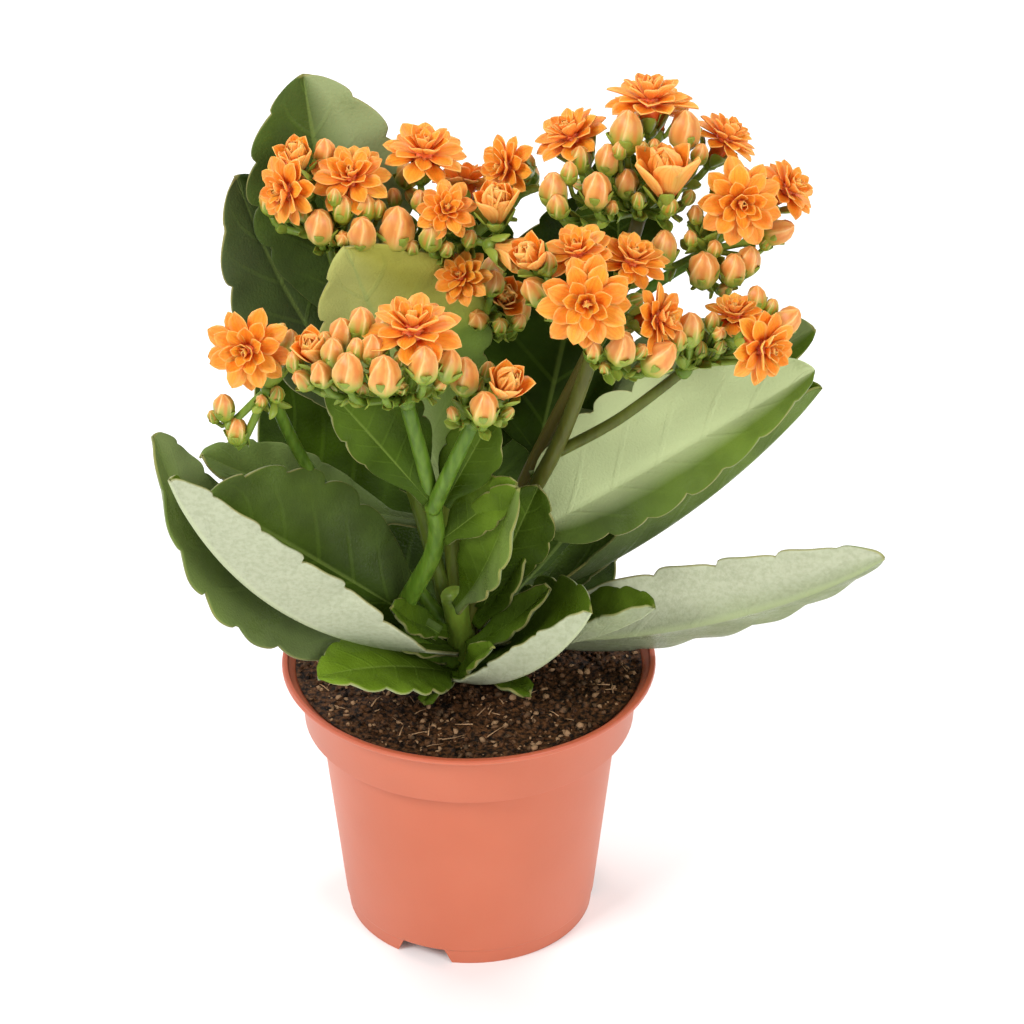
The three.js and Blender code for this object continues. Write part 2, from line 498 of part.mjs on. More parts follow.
// A double flower as one closed skin: up its tube, round each ring of petals, and over the heart.
// A ring has a count of petals, the radius and height of its root, its reach, and its rise in degrees.
function flowerGeometry({ rings, tubeRadius, tubeDepth, heart }) {
  const points = [];
  const index = [];
  const add = (angle, radius, height) => {
    points.push([radius * Math.cos(angle), radius * Math.sin(angle), height]);
    return points.length - 1;
  };
  const circle = (count, turn, radius, height) => Array.from({ length: count }, (_, i) => {
    const angle = (i / count) * FULL_TURN + turn;
    return { angle, at: add(angle, radius, height) };
  });
  // The k-th point of a closed row, counted on past its end.
  const nth = (row, k) => ({
    at: row[(k + 4 * row.length) % row.length].at,
    angle: row[0].angle + (k / row.length) * FULL_TURN,
  });
  // Joins two closed rows of points, the second above or inside the first.
  const band = (lower, upper) => {
    let [i, j] = [0, 0];
    const shift = Math.round(((lower[0].angle - upper[0].angle) / FULL_TURN) * upper.length);
    const low = (k) => nth(lower, k);
    const top = (k) => nth(upper, k + shift);
    while (i < lower.length || j < upper.length) {
      const advanceLower = j >= upper.length || (i < lower.length && low(i + 1).angle < top(j + 1).angle);
      if (advanceLower) index.push(low(i).at, low(i + 1).at, top(j).at);
      else index.push(low(i).at, top(j + 1).at, top(j).at);
      if (advanceLower) i += 1;
      else j += 1;
    }
  };
  const foot = circle(TUBE_SIDES, rings[0].turn, tubeRadius, -tubeDepth);
  const footCentre = add(0, 0, -tubeDepth);
  foot.forEach(({ at }, i) => index.push(footCentre, nth(foot, i + 1).at, at));
  let last = foot;
  for (const { petals, root, height, reach, rise, turn } of rings) {
    const [flat, steep] = [Math.cos(degrees(rise)), Math.sin(degrees(rise))];
    const row = (side) => {
      const half = (side * PETAL_THICKNESS) / 2;
      const place = (angle, out, lift) => {
        const run = out * flat - (lift + half) * steep;
        return { angle, at: add(angle, root + run, height + out * steep + (lift + half) * flat) };
      };
      const notches = [];
      const outline = [];
      for (let i = 0; i < petals; i++) {
        const sector = (share) => ((i + share) / petals) * FULL_TURN + turn;
        notches.push(place(sector(0), 0, 0));
        const petal = PETAL.map(([share, out, lift]) => [sector(share), (reach - root) * out, lift * reach]);
        outline.push(petal.map((spot) => place(...spot)));
      }
      return { notches, outline };
    };
    const under = row(-1);
    const over = row(1);
    band(last, under.notches);
    for (let i = 0; i < petals; i++) {
      const edge = ({ notches, outline }) => [notches[i], ...outline[i], notches[(i + 1) % petals]];
      const [a, b] = [under, over].map((side) => edge(side).map(({ at }) => at));
      for (const [p, q, r] of PETAL_FACES) index.push(b[p], b[q], b[r], a[r], a[q], a[p]);
      for (let k = 0; k < 4; k++) index.push(a[k], a[k + 1], b[k + 1], a[k], b[k + 1], b[k]);
    }
    last = over.notches;
  }
  const apex = add(0, 0, heart);
  last.forEach(({ at }, i) => index.push(at, last[(i + 1) % last.length].at, apex));
  const geometry = new THREE.BufferGeometry();
  geometry.setAttribute("position", new THREE.BufferAttribute(new Float32Array(points.flat()), 3));
  geometry.setIndex(index);
  return geometry;
}

// An open double bloom: two rings of petals, the inner one steeper, round a pointed heart.
function bloomGeometry([x, , z, , , radius]) {
  const turn = (x + z) % 1;
  const rings = [
    { petals: 8, root: radius * 0.34, height: 0, reach: radius, rise: 2, turn },
    { petals: 5, root: radius * 0.28, height: 1.5, reach: radius * 0.84, rise: 28, turn: turn + 0.4 },
  ];
  return flowerGeometry({ rings, tubeRadius: TUBE_RADIUS, tubeDepth: BLOOM_NECK, heart: radius * 0.62 });
}

// The room that an open bloom takes up, a gap wider all round.
function bloomRoom([, , , , , radius], gap) {
  const [reach, top] = [radius * 1.06 + gap, radius * 0.62 + gap];
  return turned([
    [0, -BLOOM_NECK - gap], [TUBE_RADIUS + gap, -BLOOM_NECK - gap], [TUBE_RADIUS + gap, -2],
    [radius * 0.34 + gap, -0.8 - gap], [reach, -0.8 - gap], [reach, 1.2 + gap],
    [radius * 0.84, radius * 0.4 + gap], [radius * 0.4, top], [0, top],
  ], 10);
}

function bloomSolid(bloom, gap = 0) {
  return solidOf(faced(gap > 0 ? bloomRoom(bloom, gap) : bloomGeometry(bloom), bloom));
}

// A half-open bloom: one ring of nearly upright petals round its heart.
function halfOpenSolid(half) {
  const [x, , , , , radius] = half;
  const ring = { petals: 4, root: radius * 0.5, height: 0, reach: radius * 1.75, rise: 60, turn: x % 1 };
  const flower = { rings: [ring], tubeRadius: TUBE_RADIUS, tubeDepth: BLOOM_NECK, heart: radius };
  return solidOf(faced(flowerGeometry(flower), half));
}

// The green spray of one head: a knuckle, a stalk to each flower with the cup that holds it, and the buds.
function spraySolid(head, grow = 0) {
  const root = vector(head.stem.at(-1));
  const pieces = [solidOf(new THREE.OctahedronGeometry(KNUCKLE_RADIUS + grow).translate(...root))];
  // A stalk from the knuckle, turning into the flower's own direction where its profile begins.
  const stalk = (flower, profile) => {
    const facingOut = facing(flower);
    const points = [root, ...profile.map(([height]) => vector(flower).addScaledVector(facingOut, height))];
    const radii = [STALK_RADIUS, ...profile.map(([, radius]) => radius)];
    pieces.push(solidOf(bar(points, radii.map((radius) => (radius > 0 ? radius + grow : 0)), 4)));
  };
  const cup = [[-BLOOM_NECK - 3, STALK_RADIUS], [-BLOOM_NECK - GAP, CUP_RADIUS]];
  for (const bloom of head.blooms) stalk(bloom, cup);
  for (const half of head.halves) {
    stalk(half, [[-BLOOM_NECK - 3, STALK_RADIUS], [-2, CUP_RADIUS]]);
    pieces.push(halfOpenSolid(half));
  }
  for (const [x, y, z, compass, rise, radius] of head.buds) {
    const bud = [x, y, z, compass, Math.min(rise + BUD_LIFT, STEEPEST)];
    const length = radius * BUD_SLENDERNESS;
    const belly = [[-length * 0.35, radius], [length * 0.4, radius * 0.85]];
    stalk(bud, [[-length, STALK_RADIUS], ...belly, [length + grow, 0]]);
  }
  return joined(pieces);
}

// ---------------------------------------------------------------- assembly

const plant = new THREE.Group();

function addPiece(name, solid, finish) {
  const mesh = new THREE.Mesh(geometryOf(solid), finish);
  mesh.name = name;
  plant.add(mesh);
}

function boxesMeet(a, b) {
  const [p, q] = [a.boundingBox(), b.boundingBox()];
  return [0, 1, 2].every((k) => p.min[k] < q.max[k] && q.min[k] < p.max[k]);
}

// Each growing piece is cut clear of those before it, so that neighbours keep a gap.
const before = [];
function grow(name, make, finish) {
  let solid = make(0);
  for (const other of before) {
    if (boxesMeet(solid, other)) solid = solid.subtract(other);
  }
  addPiece(name, largestBody(solid.asOriginal().simplify(SLIVER)), finish);
  before.push(make(GAP));
}

addPiece("pot", potSolid(), FINISH.pot);
addPiece("soil", soilSolid(), FINISH.soil);
for (const { name, blooms } of HEADS) {
  blooms.forEach((bloom, i) => grow(`bloom_${name}_${i + 1}`, (gap) => bloomSolid(bloom, gap), FINISH.petal));
}
for (const head of HEADS) grow(`spray_${head.name}`, (gap) => spraySolid(head, gap), FINISH.bud);
grow("stem", stemSolid, FINISH.stem);
for (const leaf of LEAVES) grow(leaf.name, (gap) => leafSolid(leaf, gap), FINISH.leaf);

export default plant;
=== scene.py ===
# %% [markdown]
# # A double-flowered kalanchoe in a grower's pot
#
# The plant is a young houseplant: thick scalloped leaves low down, and heads of small layered blooms above.
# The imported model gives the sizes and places, so the first cell loads it and keeps its box.
# Everything that shows is then made anew, finer, in the same places and in metres.

import math
import random
from collections import namedtuple

import bmesh
import bpy
from mathutils import Matrix, Vector, noise
from mathutils.geometry import interpolate_bezier


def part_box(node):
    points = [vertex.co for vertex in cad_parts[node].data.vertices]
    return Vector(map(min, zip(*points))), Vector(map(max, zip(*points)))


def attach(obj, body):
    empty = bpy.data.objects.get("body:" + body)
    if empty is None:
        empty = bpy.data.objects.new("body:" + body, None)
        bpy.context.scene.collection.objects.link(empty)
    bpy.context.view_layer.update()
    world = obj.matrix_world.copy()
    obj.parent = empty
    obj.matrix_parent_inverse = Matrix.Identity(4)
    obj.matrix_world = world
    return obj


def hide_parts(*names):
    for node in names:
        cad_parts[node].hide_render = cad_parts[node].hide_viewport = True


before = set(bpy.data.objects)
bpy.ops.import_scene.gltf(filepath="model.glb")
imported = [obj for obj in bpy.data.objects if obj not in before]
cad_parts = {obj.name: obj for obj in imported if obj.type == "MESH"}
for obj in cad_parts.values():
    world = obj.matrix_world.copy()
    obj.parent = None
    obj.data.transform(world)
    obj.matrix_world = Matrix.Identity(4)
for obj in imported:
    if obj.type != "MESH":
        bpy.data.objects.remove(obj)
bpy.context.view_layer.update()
MM = 0.001

# %% [markdown]
# ## The camera
#
# The photograph was taken with a long lens from a little above the plant.
# The camera therefore stands about a metre off and looks down by the same angle at the plant's middle.

# %% Camera
VIEW_TARGET = Vector((12.1, 0, 128)) * MM
VIEW_DISTANCE = 1098 * MM
VIEW_ELEVATION = math.radians(30.7)
LENS_MM = 140.6
SENSOR_MM = 36


def add_object(name, data):
    item = bpy.data.objects.new(name, data)
    bpy.context.scene.collection.objects.link(item)
    return item


camera = add_object("camera", bpy.data.cameras.new("camera"))
camera.data.lens = LENS_MM
camera.data.sensor_width = SENSOR_MM
outward = Vector((0, -math.cos(VIEW_ELEVATION), math.sin(VIEW_ELEVATION)))
camera.location = VIEW_TARGET + outward * VIEW_DISTANCE
camera.rotation_euler = (math.pi / 2 - VIEW_ELEVATION, 0, 0)
bpy.context.scene.camera = camera
print("camera at", [round(v, 3) for v in camera.location])

# %% [markdown]
# ## Recipes for finishes
#
# A finish is a small network of nodes that ends in one Principled shader. A recipe adds the nodes, does sums
# with their sockets and mixes colours, so that each finish below reads as a short list of steps.
# Patterns come from the piece's own attributes, or from Object coordinates, which stay put in every view.


# %% Recipe
class Recipe:
    """A material in the making, with one Principled shader."""

    def __init__(self, name, **sockets):
        """Sets the shader's own sockets; underscores in their names stand for spaces."""
        self.material = bpy.data.materials.new(name)
        self.material.use_nodes = True
        self.tree = self.material.node_tree
        self.shader = self.tree.nodes["Principled BSDF"]
        for socket, value in sockets.items():
            self.shader.inputs[socket.replace("_", " ")].default_value = value

    def feed(self, value, socket):
        """Links a socket to another one, or sets it."""
        if isinstance(value, bpy.types.NodeSocket):
            self.tree.links.new(value, socket)
        else:
            socket.default_value = value

    def node(self, kind, inputs, **settings):
        node = self.tree.nodes.new(kind)
        for name, value in settings.items():
            setattr(node, name, value)
        for name, value in inputs.items():
            self.feed(value, node.inputs[name])
        return node

    def read(self, name):
        """A number stored on the mesh, such as how far along a leaf a point is."""
        return self.node("ShaderNodeAttribute", {}, attribute_name=name).outputs["Fac"]

    def place(self):
        return self.node("ShaderNodeTexCoord", {}).outputs["Object"]

    def maths(self, operation, a, b=0.0):
        return self.node("ShaderNodeMath", {0: a, 1: b}, operation=operation).outputs[0]

    def times(self, a, b):
        return self.maths("MULTIPLY", a, b)

    def fade(self, value, low, high):
        """0 at low, 1 at high, and held there outside them."""
        limits = {"Value": value, "From Min": low, "From Max": high}
        return self.node("ShaderNodeMapRange", limits, interpolation_type="SMOOTHSTEP").outputs[0]

    def mix(self, factor, first, second):
        """A colour between two others, each a socket or (red, green, blue)."""
        first, second = [(*c, 1) if isinstance(c, tuple) else c for c in (first, second)]
        return self.node("ShaderNodeMix", {0: factor, 6: first, 7: second}, data_type="RGBA").outputs[2]

    def glaze(self, base, colour, cover, strength):
        """A colour laid thinly over the base where the cover is above 0."""
        return self.mix(self.times(cover, strength), base, colour)

    def mottle(self, per_metre, detail=2.0, stretch=(1, 1, 1)):
        """Cloudy noise fixed to the object, with this many patches a metre."""
        scaled = self.node("ShaderNodeMapping", {"Vector": self.place(), "Scale": stretch}).outputs[0]
        inputs = {"Vector": scaled, "Scale": per_metre, "Detail": detail}
        return self.node("ShaderNodeTexNoise", inputs).outputs["Fac"]

    def relief(self, height, depth_mm, strength):
        inputs = {"Height": height, "Distance": depth_mm * MM, "Strength": strength}
        self.feed(self.node("ShaderNodeBump", inputs).outputs[0], self.shader.inputs["Normal"])

    def done(self, colour):
        self.feed(colour, self.shader.inputs["Base Color"])
        return self.material


# %% [markdown]
# ## The leaf finish
#
# A kalanchoe's leaf is waxy: yellowish to deep green above, with a painted sheen in whitish grainy patches
# where the lamps would shine on the wax, and pale grey-green below. The midrib is a pale line, and the rim is
# here and there a thin pale brown thread, partly the leaf's own margin and partly a painted highlight.
# Each leaf stores how far along and across it every point is, so those lines follow its shape. Its third
# number, "under", is how pale the underside is, and on the upper side, as a minus, how much painted sheen it
# has.

# %% Leaf finish
VEIN_SLANT = 0.22
VEIN_WAVES = 42.0  # radians along the leaf


def leaf_finish():
    leaf = Recipe("waxy leaf", Specular_IOR_Level=0.08)
    share, under = leaf.read("share"), leaf.read("under")
    across = leaf.maths("ABSOLUTE", leaf.read("side"))
    # The blade is deeper green towards its stalk: partly its own colour and partly painted shade where the
    # leaves and heads above shade its inner end.
    deepening_and_shade = leaf.maths("ADD", 0.3, leaf.times(leaf.fade(share, 0.3, 0.75), 0.7))
    tone = leaf.times(leaf.read("tone"), deepening_and_shade)
    cloud = leaf.fade(leaf.mottle(70, 3), 0.3, 0.7)
    deep = leaf.mix(tone, (0.015, 0.03, 0.001), (0.15, 0.25, 0.012))
    fresh = leaf.mix(tone, (0.032, 0.064, 0.003), (0.23, 0.36, 0.028))
    olive = leaf.mix(cloud, (0.3, 0.28, 0.03), (0.42, 0.4, 0.06))
    upper = leaf.mix(leaf.fade(tone, 0.6, 1.0), leaf.mix(cloud, deep, fresh), olive)
    # Side veins leave the midrib at a slant, a little paler than the blade between them.
    slant = leaf.maths("SUBTRACT", share, leaf.times(across, VEIN_SLANT))
    wave = leaf.maths("SINE", leaf.times(slant, VEIN_WAVES))
    vein = leaf.times(leaf.fade(wave, 0.86, 1.0), leaf.fade(across, 0.95, 0.2))
    upper = leaf.glaze(upper, (0.12, 0.2, 0.02), vein, 0.2)
    upper = leaf.glaze(upper, (0.2, 0.28, 0.05), leaf.fade(across, 0.06, 0.015), 0.4)
    # Painted sheen: whitish grainy patches that stand in for the lamps' reflection on the waxy skin.
    grain = leaf.mottle(1500, 4)
    patches = leaf.maths("ADD", leaf.mottle(85, 4), leaf.times(grain, 0.3))
    painted_sheen = leaf.times(leaf.times(under, -1.0), leaf.fade(patches, 0.0, 0.55))
    upper = leaf.mix(painted_sheen, upper, (0.53, 0.61, 0.31))
    # The underside is a fine mottle of two grey-greens, with a paler midrib.
    speck = leaf.fade(leaf.mottle(700, 4), 0.3, 0.65)
    lower = leaf.mix(speck, (0.38, 0.41, 0.27), (0.45, 0.48, 0.33))
    lower = leaf.mix(leaf.fade(across, 0.12, 0.02), lower, (0.5, 0.55, 0.34))
    colour = leaf.mix(under, upper, lower)
    # A thin pale brown thread along the rim, in patches: partly the leaf's own margin and partly a painted
    # highlight.
    rim = leaf.maths("MAXIMUM", leaf.fade(across, 0.99, 0.999), leaf.fade(share, 0.992, 0.999))
    rim_colour_and_highlight = leaf.times(rim, leaf.fade(leaf.mottle(60, 2), 0.3, 0.6))
    colour = leaf.glaze(colour, (0.38, 0.33, 0.11), rim_colour_and_highlight, 0.5)
    leaf.feed(leaf.fade(patches, 0.2, 1.1), leaf.shader.inputs["Roughness"])
    leaf.relief(leaf.maths("ADD", grain, leaf.times(vein, 0.5)), 0.3, 0.7)
    return leaf.done(colour)


LEAF = leaf_finish()
print("finish:", LEAF.name)

# %% [markdown]
# ## Petal, bud and stalk finishes
#
# A petal is bright orange, redder towards its root, with a pale edge, and it lets some light through.
# A bud is green at its root, then cream, and peach at its tip, with a redder seam where two petals meet,
# partly painted shade, and a painted highlight along each petal's free edge.
# Stalks and sepals are a fresh satin green with faint lengthwise streaks, and some stems are browner and
# darker, partly in their own colour and partly as painted shade.

# %% Petal, bud and stalk finishes
PETAL_LINES = 19.0  # radians from the middle of a petal to its side


def petal_finish():
    petal = Recipe("orange petal", Roughness=0.5, Subsurface_Weight=0.35, Subsurface_Scale=0.0012)
    share = petal.read("share")
    across = petal.maths("ABSOLUTE", petal.read("side"))
    body = petal.mix(petal.read("tone"), (0.88, 0.25, 0.008), (0.97, 0.4, 0.03))
    body = petal.mix(petal.fade(share, 0.45, 0.0), body, (0.78, 0.1, 0.006))
    body = petal.glaze(body, (0.95, 0.5, 0.15), petal.read("under"), 0.5)
    edge = petal.maths("MAXIMUM", petal.fade(across, 0.6, 1.0), petal.fade(share, 0.8, 1.0))
    body = petal.glaze(body, (0.98, 0.56, 0.18), edge, 0.4)
    # Fine lines run from the root to the tip.
    line = petal.fade(petal.maths("SINE", petal.times(across, PETAL_LINES)), 0.2, 1.0)
    body = petal.glaze(body, (0.84, 0.2, 0.008), line, 0.3)
    streak = petal.fade(petal.mottle(900, 2), 0.35, 0.7)
    body = petal.glaze(body, (0.94, 0.42, 0.05), streak, 0.25)
    petal.relief(petal.maths("SUBTRACT", petal.mottle(1400, 2), line), 0.1, 0.4)
    return petal.done(body)


def bud_finish():
    bud = Recipe("peach bud", Roughness=0.42, Subsurface_Weight=0.25, Subsurface_Scale=0.0015)
    share, side = bud.read("share"), bud.read("side")
    # The riper the bud, the further down its peach tip reaches.
    ripening = bud.times(bud.maths("SUBTRACT", bud.read("tone"), 0.6), 0.9)
    ripe = bud.maths("ADD", share, ripening)
    flesh = bud.mix(bud.fade(ripe, 0.35, 0.85), (0.53, 0.44, 0.09), (0.78, 0.36, 0.085))
    flesh = bud.mix(bud.fade(ripe, 0.65, 0.2), flesh, (0.25, 0.33, 0.025))
    flush = bud.fade(bud.mottle(800, 3, stretch=(1, 1, 0.2)), 0.4, 0.7)
    flesh = bud.glaze(flesh, (0.68, 0.2, 0.05), bud.times(flush, bud.fade(ripe, 0.3, 0.8)), 0.6)
    # Each petal is lighter at its free edge, as a painted highlight, and redder where it goes under the next:
    # partly its own reddish stripe and partly painted shade in the overlap.
    seam_and_shade = bud.times(bud.fade(side, 0.45, 0.95), bud.fade(share, 0.15, 0.5))
    flesh = bud.glaze(flesh, (0.66, 0.2, 0.03), seam_and_shade, 0.65)
    edge = bud.times(bud.fade(side, 0.3, 0.0), bud.fade(share, 0.2, 0.6))
    flesh = bud.glaze(flesh, (0.9, 0.66, 0.28), edge, 0.55)
    bud.relief(bud.mottle(900, 2), 0.1, 0.3)
    return bud.done(flesh)


def stalk_finish():
    satin = {"Roughness": 0.36, "Specular_IOR_Level": 0.25}
    stalk = Recipe("green stalk", **satin, Subsurface_Weight=0.1, Subsurface_Scale=0.001)
    streak = stalk.fade(stalk.mottle(500, 3, stretch=(1, 1, 0.12)), 0.3, 0.7)
    green = stalk.mix(streak, (0.065, 0.13, 0.009), (0.12, 0.21, 0.02))
    # A tone above 0 is younger and yellower, and one below 0 browner and darker: partly the stem's own older,
    # browner colour and partly painted shade.
    tone = stalk.read("tone")
    browned_and_shaded = stalk.glaze(green, (0.09, 0.065, 0.014), tone, -1.0)
    stalk.relief(streak, 0.15, 0.5)
    return stalk.done(stalk.mix(tone, browned_and_shaded, (0.3, 0.37, 0.05)))


PETAL, BUD, STALK = petal_finish(), bud_finish(), stalk_finish()
print("finishes:", PETAL.name, BUD.name, STALK.name)

# %% [markdown]
# ## Helpers for pieces
#
# Small parts such as a petal or a bud are made once and poured into a larger piece wherever they grow.
# Every part carries the same four numbers on its points, which the finishes read.
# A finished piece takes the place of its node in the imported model.

# %% Part helpers
READINGS = ("share", "side", "under", "tone")
AT_HOME = Matrix.Identity(4)


def new_part():
    part = bmesh.new()
    for name in READINGS:
        part.verts.layers.float.new(name)
    return part


def readings(part, *names):
    return [part.verts.layers.float[name] for name in names]


def as_mesh(part, name):
    """Closes off a part as a mesh with its faces outwards."""
    bmesh.ops.recalc_face_normals(part, faces=part.faces)
    mesh = bpy.data.meshes.new(name)
    part.to_mesh(mesh)
    part.free()
    return mesh


def about(axis, angle):
    """A turn about an axis, in radians."""
    return Matrix.Rotation(angle, 4, axis)


def pour(piece, mesh, place=AT_HOME, slot=0, tone=None):
    """Adds a copy of a small mesh to a piece, put in place, with a finish and perhaps a tone."""
    first_vert, first_face = len(piece.verts), len(piece.faces)
    piece.from_mesh(mesh)
    piece.verts.ensure_lookup_table()
    piece.faces.ensure_lookup_table()
    added = piece.verts[first_vert:]
    bmesh.ops.transform(piece, matrix=place, verts=added)
    for face in piece.faces[first_face:]:
        face.material_index = slot
    if tone is not None:
        (tone_at,) = readings(piece, "tone")
        for vert in added:
            vert[tone_at] = tone


def thicken(part):
    """Extrudes a sheet into a closed body; gives its lower and its raised points."""
    part.normal_update()
    lower = part.verts[:]
    deepening_and_shade = bmesh.ops.extrude_face_region(part, geom=part.faces[:])["geom"]
    return lower, [g for g in deepening_and_shade if isinstance(g, bmesh.types.BMVert)]


def finish_piece(piece, name, materials, slot, *nodes):
    """Makes the object, lets it ride on the plant and hides the nodes that it stands for."""
    mesh = as_mesh(piece, name)
    for material in materials:
        mesh.materials.append(material)
    mesh.shade_smooth()
    item = add_object(name, mesh)
    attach(item, "root")
    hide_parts(*nodes)
    print(f"{name}: {len(mesh.polygons)} faces")
    return item


def turned_part(profile, steps):
    """Spins a profile of (radius, height) about Z; points on the axis close it."""
    part = new_part()
    points = [part.verts.new((radius, 0, height)) for radius, height in profile]
    edges = [part.edges.new(pair) for pair in zip(points, points[1:])]
    turn = {"cent": (0, 0, 0), "axis": (0, 0, 1), "angle": 2 * math.pi}
    bmesh.ops.spin(part, geom=points + edges, steps=steps, use_merge=True, **turn)
    bmesh.ops.remove_doubles(part, verts=part.verts, dist=1e-6)
    return part


# %% [markdown]
# Stems and stalks are round and tapering, and they bend. A circle is extruded from point to point along a
# smooth path, and turned a little at each step to stay square to it.


# %% Bent stalks
def smooth_path(points, steps):
    """A smooth line through points in mm, with this many steps between each pair."""
    points = [Vector(point) * MM for point in points]
    line = []
    for i in range(len(points) - 1):
        a, b = points[i], points[i + 1]
        lead = (b - points[max(i - 1, 0)]) / 6
        trail = (points[min(i + 2, len(points) - 1)] - a) / 6
        line += interpolate_bezier(a, a + lead, b - trail, b, steps + 1)[:-1]
    return line + [points[-1]]


def stalk_mesh(line, radii, sides):
    """A closed tapering stalk along a line, with a radius at each end."""
    part = new_part()
    last = len(line) - 1
    heading = (line[1] - line[0]).normalized()
    turn = heading.to_track_quat("Z", "Y")

    def pose(i):
        radius = radii[0] + (radii[1] - radii[0]) * i / last
        return Matrix.Translation(line[i]) @ turn.to_matrix().to_4x4() @ Matrix.Scale(radius, 4)

    before = pose(0)
    bmesh.ops.create_circle(part, cap_ends=True, segments=sides, radius=1, matrix=before)
    edges = part.edges[:]
    for i in range(1, last + 1):
        next_heading = (line[min(i + 1, last)] - line[i - 1]).normalized()
        turn = heading.rotation_difference(next_heading) @ turn
        heading = next_heading
        deepening_and_shade = bmesh.ops.extrude_edge_only(part, edges=edges)["geom"]
        ring = [g for g in deepening_and_shade if isinstance(g, bmesh.types.BMVert)]
        edges = [g for g in deepening_and_shade if isinstance(g, bmesh.types.BMEdge) and g.is_boundary]
        after = pose(i)
        bmesh.ops.transform(part, matrix=after @ before.inverted(), verts=ring)
        before = after
    bmesh.ops.edgeloop_fill(part, edges=edges)
    return as_mesh(part, "stalk")


def pour_stalk(piece, line, radii, sides=8, tone=0.0):
    mesh = stalk_mesh(line, radii, sides)
    pour(piece, mesh, tone=tone)
    bpy.data.meshes.remove(mesh)
